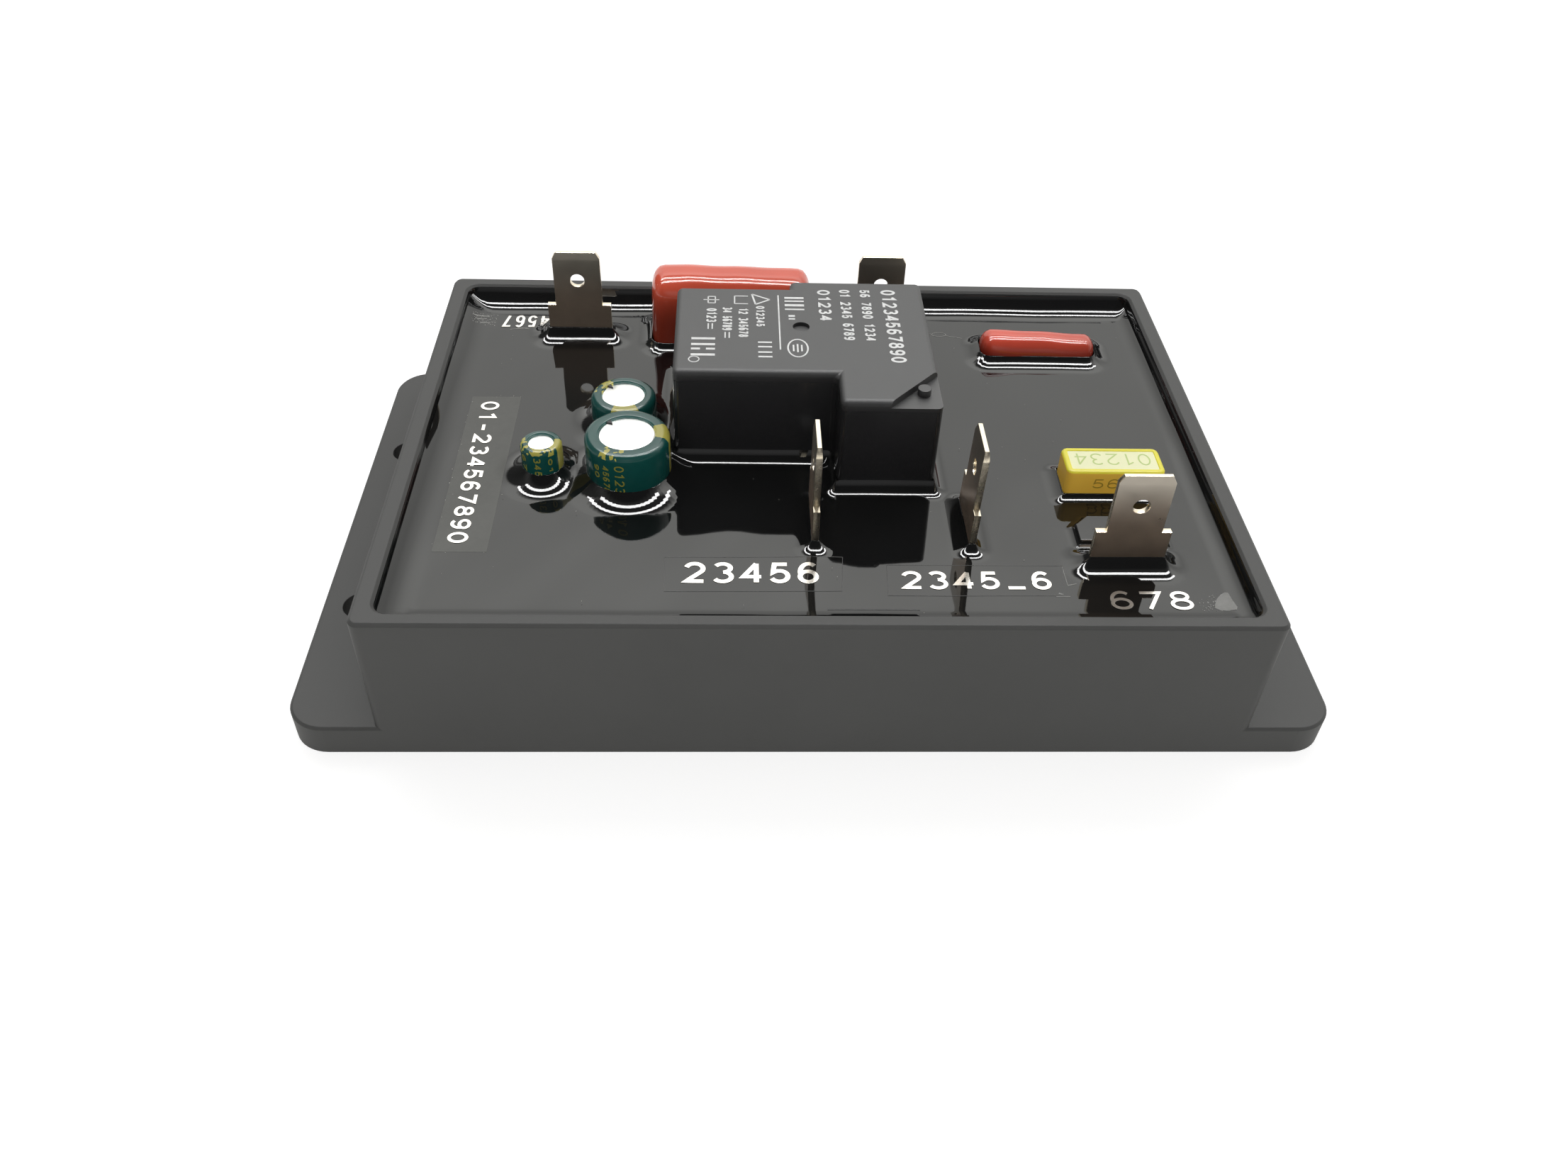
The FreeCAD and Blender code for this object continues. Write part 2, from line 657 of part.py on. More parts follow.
def round_leads(name, place_at, spots, top, radius="lead_radius"):
    """Straight round wires from inside a part down through the board."""
    made = new_body(name)
    outline = new_sketch(made, lift=top)
    for x, y in spots:
        draw_many_sided(outline, x, y, radius, WIRE_SIDES)
    pad(made, outline, f"{top} + {LEAD_END}", down=True)
    place(made, **place_at)
    lead_holes(place_at, round_leads=[(x, y, radius) for x, y in spots])
    return keep(name, made)


def turned(name, corners, place_at):
    """A solid of revolution about Z from its half profile: radius, height."""
    made = new_body(name)
    profile = new_sketch(made, "XZ_Plane")
    draw_outline(profile, corners)
    spin = made.newObject("PartDesign::Revolution", "turn")
    spin.Profile = profile
    spin.ReferenceAxis = (profile, ["V_Axis"])
    spin.Angle = 360
    place(made, **place_at)
    return made


def pierced(name, block, tools):
    """A piece with other pieces passing through it, face to face."""
    through = tools[0]
    if len(tools) > 1:
        through = doc.addObject("Part::MultiFuse", name + "_tools")
        through.Shapes = tools
    made = doc.addObject("Part::Cut", name)
    made.Base = block
    made.Tool = through
    return keep(name, made)


# Electrolytic capacitors: sealed aluminium can, shrunk printed sleeve and two wires
def electrolytic(size, x, y):
    radius = f"{size}_can_radius"
    tall = f"{size}_can_tall"
    disc = f"{size}_can_disc"
    metal = f"({radius} - sleeve_thick)"
    place_at = dict(x=x, y=y)

    lip_top = [(f"{radius}", f"{tall} - sleeve_round"), (f"{radius} - sleeve_round", tall)]
    shoulder = [(metal, f"{tall} - sleeve_round"), (f"{metal} - sleeve_round", f"{tall} - sleeve_thick")]
    sleeve_profile = [(radius, "0")] + lip_top + [(disc, tall), (disc, f"{tall} - sleeve_thick")]
    sleeve_profile += list(reversed(shoulder)) + [(metal, "0")]
    keep(f"{size}_can_sleeve", turned(f"{size}_can_sleeve", sleeve_profile, place_at))

    can_profile = [("0", "0"), (metal, "0")] + shoulder + [("0", f"{tall} - sleeve_thick")]
    keep(f"{size}_can", turned(f"{size}_can", can_profile, place_at))
    spots = [(f"{sign} * {size}_can_pitch / 2", "0") for sign in (-1, 1)]
    round_leads(f"{size}_can_leads", place_at, spots, "0")
    skirt(place_at, round_outline(radius))


electrolytic("large", *LARGE_CAN)
electrolytic("medium", *MEDIUM_CAN)
electrolytic("small", *SMALL_CAN)


# Red film capacitors: dipped in epoxy, so every edge is full and round, and a little tilted
def dipped_film(size, x, y):
    half_x = f"({size}_film_long / 2)"
    half_y = f"({size}_film_thick / 2)"
    full_round = f"{size}_film_round"
    place_at = dict(x=x, y=y)
    block = new_body(f"{size}_film_block")
    outline = new_sketch(block, lift="film_lift")
    draw_outline(outline, rectangle(half_x, half_y))
    dipped = pad(block, outline, f"{size}_film_tall")
    foot = amount("film_lift")
    dipped = round_edges(block, dipped, lambda edge: not at_height(edge, foot), full_round)
    round_edges(block, dipped, lambda edge: at_height(edge, foot), "film_foot_bevel", BEVEL)
    place(block, tilt=f"{size}_film_tilt", **place_at)
    spots = [(f"{sign} * {size}_film_pitch / 2", "0") for sign in (-1, 1)]
    wires = round_leads(f"{size}_film_leads", place_at, spots, "film_lift + film_lead_grip")
    pierced(f"{size}_film_capacitor", block, [wires])

    def foot_outline(made, grow):
        corner = f"({full_round} + {grow})"
        draw_outline(made, bevelled(f"({half_x} + {grow})", f"({half_y} + {grow})", corner))

    skirt(place_at, foot_outline)


dipped_film("large", *LARGE_FILM)
dipped_film("small", *SMALL_FILM)


# Yellow box capacitor: moulded case, epoxy fill at its foot and two wires
BOX_PLACE = dict(x=BOX[0], y=BOX[1])
box_shell = new_body("box_capacitor_case")
shell_sketch = new_sketch(box_shell)
draw_outline(shell_sketch, rectangle("(box_long / 2)", "(box_thick / 2)"))
shell_block = pad(box_shell, shell_sketch, "box_tall")
box_top = amount("box_tall")
round_edges(box_shell, shell_block, lambda edge: upright(edge) or at_height(edge, box_top),
            "box_bevel", BEVEL)
well_sketch = new_sketch(box_shell)
draw_outline(well_sketch, rectangle("(box_long / 2 - box_wall)", "(box_thick / 2 - box_wall)"))
pocket(box_shell, well_sketch, "box_tall - box_wall", up=True)
place(box_shell, **BOX_PLACE)
keep("box_capacitor_case", box_shell)
box_spots = [(f"{sign} * box_pitch / 2", "0") for sign in (-1, 1)]
box_wires = round_leads("box_capacitor_leads", BOX_PLACE, box_spots, "box_tall / 2")
fill_block = new_body("box_fill_block")
fill_sketch = new_sketch(fill_block)
draw_outline(fill_sketch, rectangle("(box_long / 2 - box_wall)", "(box_thick / 2 - box_wall)"))
pad(fill_block, fill_sketch, "box_tall - box_wall")
place(fill_block, **BOX_PLACE)
pierced("box_capacitor_fill", fill_block, [box_wires])
skirt(BOX_PLACE, box_outline("box_long / 2", "box_thick / 2"))


# Square fuse block: black moulded cover with one bevelled corner and two wires
FUSE_PLACE = dict(x=FUSE[0], y=FUSE[1])
fuse_block = new_body("fuse_block")
fuse_sketch = new_sketch(fuse_block)
fuse_half_x = "(fuse_long / 2)"
fuse_half_y = "(fuse_thick / 2)"
draw_outline(fuse_sketch, [
    (f"-{fuse_half_x}", f"-{fuse_half_y}"), (fuse_half_x, f"-{fuse_half_y}"), (fuse_half_x, fuse_half_y),
    (f"-{fuse_half_x} + fuse_chamfer", fuse_half_y), (f"-{fuse_half_x}", f"{fuse_half_y} - fuse_chamfer"),
])
fuse_pad = pad(fuse_block, fuse_sketch, "fuse_tall")
fuse_top = amount("fuse_tall")
round_edges(fuse_block, fuse_pad, lambda edge: at_height(edge, fuse_top), "fuse_bevel", BEVEL)
place(fuse_block, **FUSE_PLACE)
fuse_spots = [(f"{sign} * fuse_pitch / 2", "0") for sign in (-1, 1)]
fuse_wires = round_leads("fuse_leads", FUSE_PLACE, fuse_spots, "fuse_tall / 2")
pierced("fuse_cover", fuse_block, [fuse_wires])
skirt(FUSE_PLACE, box_outline("fuse_long / 2", "fuse_thick / 2"))


# Parts that the resin hides: bridge rectifier, controller chip, driver transistor
BRIDGE_PLACE = dict(x=BRIDGE[0], y=BRIDGE[1])
CHIP_PLACE = dict(x=CHIP[0], y=CHIP[1])


def bent_leg_package(name, place_at, length, width, height, legs_per_side, leg_pitch):
    """A moulded block on two rows of bent legs."""
    package = new_body(name)
    outline = new_sketch(package, lift="chip_lift")
    draw_outline(outline, rectangle(f"({length} / 2)", f"({width} / 2)"))
    pad(package, outline, height)
    place(package, **place_at)
    keep(name, package)
    legs = new_body(name + "_legs")
    inner = f"({width} / 2)"
    outer = "(chip_row / 2 + chip_leg_thick / 2)"
    leg_top = "(chip_lift + chip_leg_up)"
    profile = [
        (inner, f"{leg_top} - chip_leg_thick"),
        (f"{outer} - chip_leg_thick", f"{leg_top} - chip_leg_thick"),
        (f"{outer} - chip_leg_thick", f"-{LEAD_END}"), (outer, f"-{LEAD_END}"),
        (outer, leg_top), (inner, leg_top),
    ]
    for number in range(legs_per_side):
        along = f"({number} - ({legs_per_side} - 1) / 2) * {leg_pitch}"
        for side in (-1, 1):
            leg_sketch = new_sketch(legs, "YZ_Plane", lift=f"{along} - chip_leg_wide / 2")
            draw_outline(leg_sketch, [(f"{side} * ({across})", up) for across, up in profile])
            pad(legs, leg_sketch, "chip_leg_wide")
    place(legs, **place_at)
    keep(name + "_legs", legs)
    holes = [(f"({n} - ({legs_per_side} - 1) / 2) * {leg_pitch}", f"{side} * chip_row / 2",
              "chip_leg_wide / 2", "chip_leg_thick / 2")
             for n in range(legs_per_side) for side in (-1, 1)]
    lead_holes(place_at, flat_leads=holes)


bent_leg_package("controller_chip", CHIP_PLACE, "chip_long", "chip_wide", "chip_tall", 4, "chip_pitch")
bent_leg_package("bridge_rectifier", BRIDGE_PLACE, "bridge_long", "bridge_wide", "bridge_tall", 2,
                 "2 * chip_pitch")

DRIVER_PLACE = dict(x=DRIVER[0], y=DRIVER[1])
driver_block = new_body("driver_block")
driver_sketch = new_sketch(driver_block, lift="driver_lift")
draw_circle(driver_sketch, "0", "0", "driver_radius")
pad(driver_block, driver_sketch, "driver_tall")
flat_sketch = new_sketch(driver_block, lift="driver_lift")
draw_outline(flat_sketch, rectangle("driver_radius", "driver_radius / 2",
                                    "0", "-driver_flat - driver_radius / 2"))
pocket(driver_block, flat_sketch, "driver_tall", up=True)
place(driver_block, **DRIVER_PLACE)
driver_spots = [(f"{step} * driver_pitch", "0") for step in (-1, 0, 1)]
driver_wires = round_leads("driver_transistor_leads", DRIVER_PLACE, driver_spots,
                           "driver_lift + driver_tall / 2", "driver_lead_radius")
pierced("driver_transistor", driver_block, [driver_wires])


# Diodes and resistors: round bodies on two wires bent down through the board
def axial_part(name, x, y, radius, length, turn="0"):
    place_at = dict(x=x, y=y, turn=turn)
    height = f"(axial_lift + {radius})"
    body = new_body(name)
    end = new_sketch(body, "YZ_Plane", lift=f"-{length} / 2")
    draw_many_sided(end, "0", height, radius, ROD_SIDES)
    pad(body, end, length)
    place(body, **place_at)
    keep(name, body)
    corner_x = f"({length} / 2 + axial_run)"
    leads = new_body(name + "_leads")
    for side in (-1, 1):
        path = new_sketch(leads, "XZ_Plane")
        start = Vector(side * amount(f"{length} / 2"), amount(height), 0)
        bend = Vector(side * amount(corner_x), amount(height), 0)
        foot = Vector(bend.x, -amount(LEAD_END), 0)
        path.addGeometry(Part.LineSegment(start, bend), False)
        path.addGeometry(Part.LineSegment(bend, foot), False)
        path.addConstraint(Sketcher.Constraint("Coincident", 0, 2, 1, 1))
        for line, end_of_line, x, y in ((0, 1, f"{length} / 2", height), (0, 2, corner_x, height),
                                        (1, 2, corner_x, f"-{LEAD_END}")):
            pin_down(path, line, end_of_line, "X", f"{side} * {x}")
            pin_down(path, line, end_of_line, "Y", y)
        wire_end = new_sketch(leads, "YZ_Plane", lift=f"{side} * {length} / 2")
        draw_many_sided(wire_end, "0", height, "lead_radius", WIRE_SIDES)
        wire = leads.newObject("PartDesign::AdditivePipe", "wire")
        wire.Profile = wire_end
        wire.Spine = (path, ["Edge1", "Edge2"])
        wire.Transition = "Right corner"
    place(leads, **place_at)
    keep(name + "_leads", leads)
    lead_holes(place_at, round_leads=[(f"{side} * {corner_x}", "0", "lead_radius") for side in (-1, 1)])


axial_part("flyback_diode", *FLYBACK, "diode_radius", "diode_long")
axial_part("zener_diode", *ZENER, "diode_radius", "diode_long")
axial_part("dropper_resistor", *DROPPER, "resistor_radius", "resistor_long")
axial_part("bleeder_resistor", *BLEEDER, "resistor_radius", "resistor_long", turn="90")


# Circuit board: one plate on the four posts, with a hole for every lead
board_x = f"({CAVITY_X} - board_gap)"
board_y = f"({CAVITY_Y} - board_gap)"
board_plate = new_body("board_plate")
plate_sketch = new_sketch(board_plate, lift="floor_thick + post_height")
draw_rounded(plate_sketch, board_x, board_y, "board_corner")
pad(board_plate, plate_sketch, "board_thick")
board_holes = doc.addObject("Part::MultiFuse", "board_holes")
board_holes.Shapes = LEAD_HOLES
circuit_board = doc.addObject("Part::Cut", "circuit_board")
circuit_board.Base = board_plate
circuit_board.Tool = board_holes
keep("circuit_board", circuit_board, embedded=False)


# Potting resin: cast round the board and every piece, hollow at the walls and at each piece
resin_block = new_body("resin_block")
resin_sketch = new_sketch(resin_block, lift="floor_thick")
draw_rounded(resin_sketch, CAVITY_X, CAVITY_Y, "cavity_corner")
pad(resin_block, resin_sketch, f"{RESIN_LEVEL} + wall_climb - floor_thick")


def inside_walls(made, grow):
    draw_rounded(made, f"({CAVITY_X} - {grow})", f"({CAVITY_Y} - {grow})", "cavity_corner")


hollow_climb(resin_block, inside_walls, RESIN_LEVEL, "wall_climb", inward=True)
resin_skirts = doc.addObject("Part::MultiFuse", "resin_with_skirts")
resin_skirts.Shapes = [resin_block] + SKIRTS
resin_tools = doc.addObject("Part::MultiFuse", "embedded_pieces")
resin_tools.Shapes = EMBEDDED + [board_plate]
potting_resin = doc.addObject("Part::Cut", "potting_resin")
potting_resin.Base = resin_skirts
potting_resin.Tool = resin_tools
keep("potting_resin", potting_resin, embedded=False)

doc.recompute()

failed = []
for item in doc.Objects:
    if "Invalid" in item.State or "Error" in item.State:
        owner = item.getParentGeoFeatureGroup()
        failed.append(f"{item.Name} in {owner.Label if owner else 'the document'}")
if failed:
    raise RuntimeError("failed: " + ", ".join(failed))

os.makedirs("parts", exist_ok=True)
for name, made in NODES.items():
    shape = made.Shape
    if shape.isNull() or not shape.isValid() or not shape.Solids:
        raise RuntimeError(f"{name} has no valid solid")
    shape.exportStep(f"parts/{name}.step")
    print(f"{name}: {len(shape.Solids)} solid(s), {shape.Volume:.1f} mm3")
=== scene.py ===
import math

import bmesh
import bpy
import numpy as np
from mathutils import Matrix, Vector
from mathutils.geometry import delaunay_2d_cdt


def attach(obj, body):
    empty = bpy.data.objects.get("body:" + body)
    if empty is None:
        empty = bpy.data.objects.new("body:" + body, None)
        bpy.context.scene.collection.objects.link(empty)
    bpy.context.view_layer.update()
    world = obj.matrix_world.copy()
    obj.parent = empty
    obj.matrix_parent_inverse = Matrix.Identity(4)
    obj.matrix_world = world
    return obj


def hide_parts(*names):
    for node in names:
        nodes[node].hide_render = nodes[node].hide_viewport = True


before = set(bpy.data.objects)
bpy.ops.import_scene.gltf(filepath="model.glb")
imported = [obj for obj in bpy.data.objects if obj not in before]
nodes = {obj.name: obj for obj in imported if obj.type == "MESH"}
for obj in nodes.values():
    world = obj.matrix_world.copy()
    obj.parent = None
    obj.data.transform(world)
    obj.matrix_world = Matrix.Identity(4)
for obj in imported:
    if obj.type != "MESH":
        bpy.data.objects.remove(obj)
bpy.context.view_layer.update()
mm = 0.001


# Camera: held in front of the part and well above it, looking down at about 43 degrees, turned a few degrees
# aside and a little out of level, as the photograph was taken.
camera_yaw, camera_pitch, camera_roll = -0.0573, 0.7465, 0.0441
camera_place = Vector((-10.10, -130.88, 113.93)) * mm
level = Matrix(((1, 0, 0), (0, 0, -1), (0, 1, 0)))
turned_aside = Matrix(((math.cos(camera_yaw), math.sin(camera_yaw), 0),
                       (-math.sin(camera_yaw), math.cos(camera_yaw), 0), (0, 0, 1)))
tipped_down = Matrix(((1, 0, 0), (0, math.cos(camera_pitch), -math.sin(camera_pitch)),
                      (0, math.sin(camera_pitch), math.cos(camera_pitch))))
rolled = Matrix(((math.cos(camera_roll), -math.sin(camera_roll), 0),
                 (math.sin(camera_roll), math.cos(camera_roll), 0), (0, 0, 1)))
right, down, ahead = rolled @ tipped_down @ level @ turned_aside
camera_lens = bpy.data.cameras.new("camera")
camera_lens.sensor_width = 36.0
camera_lens.lens = 29.26
camera_lens.clip_start = 0.01
camera_lens.clip_end = 20.0
camera = bpy.data.objects.new("camera", camera_lens)
camera.matrix_world = Matrix.Translation(camera_place) @ Matrix((right, -down, -ahead)).transposed().to_4x4()
bpy.context.scene.collection.objects.link(camera)
bpy.context.scene.camera = camera
bpy.context.scene.view_settings.view_transform = "Standard"


# Photo tent: a white floor and white cloth round it, open and dark on the left. A large soft panel behind and
# above and two rows of small bright lamps overhead are what the glossy faces mirror, and the camera's own side
# is dim, with a brighter patch low in the middle.
def node_in(tree, kind, **values):
    """A node in a tree, with its settings and unlinked sockets given by name."""
    made = tree.nodes.new(kind)
    for name, value in values.items():
        if name in made.bl_rna.properties:
            setattr(made, name, value)
        else:
            made.inputs[name.replace("_", " ")].default_value = value
    return made


def join(tree, *chain):
    """Links (node, output) to (node, input), two by two."""
    for (source, out), (target, into) in zip(chain[::2], chain[1::2]):
        tree.links.new(source.outputs[out], target.inputs[into])


def maths(tree, operation, second=None):
    """A Math node, with its second value where that is fixed."""
    made = node_in(tree, "ShaderNodeMath", operation=operation)
    if second is not None:
        made.inputs[1].default_value = second
    return made


def ramp(tree, first, last, *between):
    """A Color Ramp node from its stops, each a place and a colour: its two ends, then those between."""
    made = node_in(tree, "ShaderNodeValToRGB")
    stops = made.color_ramp.elements
    for stop, (place, colour) in zip(stops, (first, last)):
        stop.position, stop.color = place, colour
    for place, colour in between:
        stops.new(place).color = colour
    return made


def facing(tree, *way):
    """How squarely a direction looks a given way."""
    made = node_in(tree, "ShaderNodeVectorMath", operation="DOT_PRODUCT")
    made.inputs[1].default_value = way
    return made


floor_sheet = bpy.data.meshes.new("floor")
floor_sheet.from_pydata([(x * 4, y * 4, -0.02 * mm) for x, y in ((-1, -1), (1, -1), (1, 1), (-1, 1))], [],
                        [(0, 1, 2, 3)])
floor = bpy.data.objects.new("floor", floor_sheet)
bpy.context.scene.collection.objects.link(floor)
white_card = bpy.data.materials.new("white_card")
white_card.use_nodes = True
tree = white_card.node_tree
tree.nodes.clear()
seen = node_in(tree, "ShaderNodeLightPath")
card = node_in(tree, "ShaderNodeBsdfDiffuse", Color=(0.9, 0.9, 0.89, 1))
card_glow = node_in(tree, "ShaderNodeEmission", Color=(1, 1, 0.98, 1), Strength=0.35)
card_bright = node_in(tree, "ShaderNodeAddShader")
card_seen = node_in(tree, "ShaderNodeBsdfDiffuse", Color=(0.55, 0.55, 0.55, 1))
card_white = node_in(tree, "ShaderNodeEmission", Color=(1, 1, 1, 1), Strength=0.7)
both = node_in(tree, "ShaderNodeAddShader")
choose = node_in(tree, "ShaderNodeMixShader")
end = node_in(tree, "ShaderNodeOutputMaterial")
join(tree, (card_seen, 0), (both, 0), (card_white, 0), (both, 1), (seen, "Is Camera Ray"), (choose, 0),
     (card, 0), (card_bright, 0), (card_glow, 0), (card_bright, 1), (card_bright, 0), (choose, 1),
     (both, 0), (choose, 2), (choose, 0), (end, 0))
floor_sheet.materials.append(white_card)

tent = bpy.data.worlds.new("tent")
bpy.context.scene.world = tent
tent.use_nodes = True
tree = tent.node_tree
tree.nodes.clear()
seen = node_in(tree, "ShaderNodeLightPath")
way = node_in(tree, "ShaderNodeTexCoord")
up_and_back = node_in(tree, "ShaderNodeSeparateXYZ")
levels = ((0.0, 0.30), (1.0, 0.03), (0.46, 0.30), (0.60, 0.43), (0.70, 0.62), (0.80, 0.70), (0.86, 0.06))
panel_by_height = ramp(tree, *((place, (level, level, level, 1)) for place, level in levels))
behind = node_in(tree, "ShaderNodeMapRange", interpolation_type="SMOOTHSTEP", From_Min=-0.12, From_Max=0.18)
brightness = maths(tree, "MULTIPLY", 4.2)
open_side = node_in(tree, "ShaderNodeMapRange", interpolation_type="SMOOTHSTEP", From_Min=-0.57, From_Max=-0.5,
                    To_Min=0.08)
beyond_side = maths(tree, "MULTIPLY")
towards_camera = facing(tree, 0.0, -0.766, 0.643)
dim_front = node_in(tree, "ShaderNodeMapRange", interpolation_type="SMOOTHSTEP", From_Min=0.45, From_Max=0.80,
                    To_Min=0.45, To_Max=0.5)
front_or_back = node_in(tree, "ShaderNodeMix", data_type="FLOAT")
cloth_mirrored = node_in(tree, "ShaderNodeBackground")
cream, grey, white = (1.0, 1.0, 0.965, 1), (0.12, 0.12, 0.12, 1), (1, 1, 1, 1)
front_tones = ramp(tree, (0.4, cream), (1.0, white), (0.6, grey), (0.92, grey))
towards_low_front = facing(tree, 0.0, -0.9, 0.436)
cloth_lit = node_in(tree, "ShaderNodeBackground", Color=(1, 0.99, 0.97, 1))
lit_by_side = node_in(tree, "ShaderNodeMapRange", From_Min=-0.7, From_Max=0.3, To_Min=0.34, To_Max=0.58)
cloth_seen = node_in(tree, "ShaderNodeBackground", Color=(1, 1, 1, 1), Strength=1.0)
mirror_or_light = node_in(tree, "ShaderNodeMixShader")
seen_or_not = node_in(tree, "ShaderNodeMixShader")
shiny = maths(tree, "MAXIMUM")
end = node_in(tree, "ShaderNodeOutputWorld")
join(tree, (way, "Generated"), (up_and_back, 0), (up_and_back, "Z"), (panel_by_height, 0),
     (panel_by_height, 0), (brightness, 0), (up_and_back, "Y"), (behind, "Value"), (behind, 0), (front_or_back, 0),
     (way, "Generated"), (towards_camera, 0), (towards_camera, "Value"), (dim_front, "Value"),
     (dim_front, 0), (front_or_back, 2), (up_and_back, "X"), (open_side, "Value"),
     (open_side, 0), (beyond_side, 0), (brightness, 0), (beyond_side, 1), (beyond_side, 0), (front_or_back, 3),
     (up_and_back, "Y"), (lit_by_side, "Value"), (lit_by_side, 0), (cloth_lit, "Strength"),
     (way, "Generated"), (towards_low_front, 0), (towards_low_front, "Value"), (front_tones, 0),
     (front_tones, 0), (cloth_mirrored, "Color"), (front_or_back, 0), (cloth_mirrored, "Strength"),
     (seen, "Is Glossy Ray"), (shiny, 0),
     (seen, "Is Transmission Ray"), (shiny, 1), (shiny, 0), (mirror_or_light, 0),
     (cloth_lit, 0), (mirror_or_light, 1), (cloth_mirrored, 0), (mirror_or_light, 2),
     (seen, "Is Camera Ray"), (seen_or_not, 0), (mirror_or_light, 0), (seen_or_not, 1),
     (cloth_seen, 0), (seen_or_not, 2), (seen_or_not, 0), (end, 0))


def lamp(name, place, size, watts, mirrored=True, lights=True):
    """A flat lamp that faces the part and isn't seen itself."""
    made = bpy.data.lights.new(name, "AREA")
    made.shape = "RECTANGLE"
    made.size, made.size_y = size
    made.energy = watts
    held = bpy.data.objects.new(name, made)
    held.location = place
    held.rotation_euler = Vector(place).to_track_quat("Z", "Y").to_euler()
    held.visible_camera = False
    held.visible_glossy = mirrored
    held.visible_diffuse = lights
    bpy.context.scene.collection.objects.link(held)


lamp("soft_panel", (0.0, 0.95, 0.86), (2.3, 1.15), 9.5, mirrored=False)
lamp("front_fill", (0.25, -1.1, 0.75), (1.6, 0.6), 5.5, mirrored=False)
row_long, bead_pitch = 1.4, 0.0045
lamp("lamp_row_low", (0.0, 0.36, 0.99), (row_long, 0.10), 9.5, lights=False)
lamp("lamp_row_high", (0.0, 0.03, 1.05), (row_long, 0.125), 12.0, lights=False)
for row in ("lamp_row_low", "lamp_row_high"):
    chain = bpy.data.lights[row]
    chain.use_nodes = True
    tree = chain.node_tree
    place_on = node_in(tree, "ShaderNodeNewGeometry")
    along_row = node_in(tree, "ShaderNodeSeparateXYZ")
    beads = maths(tree, "MULTIPLY", row_long / bead_pitch * math.tau)
    swing = maths(tree, "SINE")
    glow = node_in(tree, "ShaderNodeMapRange", From_Min=-0.2, From_Max=0.3, To_Min=0.3, To_Max=1.9)
    join(tree, (place_on, "Parametric"), (along_row, 0), (along_row, "X"), (beads, 0), (beads, 0), (swing, 0),
         (swing, 0), (glow, "Value"), (glow, 0), (tree.nodes["Emission"], "Strength"))


# Tray: one moulding in black ABS with two screw flanges and posts for the board, open at the top. It is the
# part's own solid, satin, with a fine moulded grain, cloudy gloss and edges that the light rounds off.
def surface(name, colour, roughness, cloud=300.0, drift=0.1, grain=2600.0, depth=0.006, gloss_drift=0.06,
            metallic=0.0, ior=1.5, round_edge=0.0):
    """A finish whose colour and gloss drift in soft clouds over a fine grain, set by the piece's own place."""
    made = bpy.data.materials.new(name)
    made.use_nodes = True
    tree = made.node_tree
    skin = tree.nodes["Principled BSDF"]
    skin.inputs["Metallic"].default_value = metallic
    skin.inputs["IOR"].default_value = ior
    where = node_in(tree, "ShaderNodeTexCoord")
    clouds = node_in(tree, "ShaderNodeTexNoise", Scale=cloud, Detail=3.0, Roughness=0.55)
    shade = node_in(tree, "ShaderNodeMix", data_type="RGBA")
    shade.inputs["A"].default_value = (*[c * (1 - drift) for c in colour], 1)
    shade.inputs["B"].default_value = (*[min(1.0, c * (1 + drift)) for c in colour], 1)
    gloss = node_in(tree, "ShaderNodeMapRange", To_Min=max(0.0, roughness - gloss_drift),
                    To_Max=min(1.0, roughness + gloss_drift))
    grains = node_in(tree, "ShaderNodeTexNoise", Scale=grain, Detail=2.0, Roughness=0.6)
    bumps = node_in(tree, "ShaderNodeBump", Strength=1.0, Distance=depth * mm)
    join(tree, (where, "Object"), (clouds, "Vector"), (clouds, "Fac"), (shade, "Factor"),
         (shade, "Result"), (skin, "Base Color"), (clouds, "Fac"), (gloss, "Value"),
         (gloss, "Result"), (skin, "Roughness"), (where, "Object"), (grains, "Vector"),
         (grains, "Fac"), (bumps, "Height"), (bumps, "Normal"), (skin, "Normal"))
    if round_edge:
        softened = node_in(tree, "ShaderNodeBevel", samples=6, Radius=round_edge * mm)
        join(tree, (softened, 0), (bumps, "Normal"))
    return made


def finish(name, made):
    """Gives a CAD node its finish."""
    nodes[name].data.materials.clear()
    nodes[name].data.materials.append(made)


tray_plastic = surface("tray_plastic", (0.059, 0.0593, 0.058), 0.56, cloud=90.0, drift=0.12, grain=3200.0,
                       depth=0.008, gloss_drift=0.05, round_edge=0.18)
tray_plastic.node_tree.nodes["Principled BSDF"].inputs["Specular IOR Level"].default_value = 0.3
finish("case_tray", tray_plastic)


# Circuit board and the parts that lie wholly under the resin: a glass-fibre board, a rectifier, a chip, a
# transistor, diodes and resistors with their tinned legs. They are the part's own solids.
board_laminate = surface("board_laminate", (0.30, 0.22, 0.09), 0.5, cloud=700.0, drift=0.2, grain=5000.0,
                         depth=0.004)
black_compound = surface("black_compound", (0.02, 0.02, 0.021), 0.6, cloud=900.0, drift=0.2, grain=7000.0,
                         depth=0.006)
resistor_lacquer = surface("resistor_lacquer", (0.16, 0.32, 0.42), 0.35, cloud=900.0, drift=0.1,
                           grain=2500.0, depth=0.01)
tinned_wire = surface("tinned_wire", (0.72, 0.70, 0.66), 0.3, cloud=1500.0, drift=0.08, grain=6000.0,
                      depth=0.003, metallic=1.0)
relay_base_plastic = surface("relay_base_plastic", (0.03, 0.03, 0.032), 0.5, cloud=600.0, drift=0.15)
finish("circuit_board", board_laminate)
for buried in ("bridge_rectifier", "controller_chip", "driver_transistor", "flyback_diode", "zener_diode"):
    finish(buried, black_compound)
for buried in ("dropper_resistor", "bleeder_resistor"):
    finish(buried, resistor_lacquer)
for buried in nodes:
    if buried.endswith(("_leads", "_legs", "_pins")):
        finish(buried, tinned_wire)
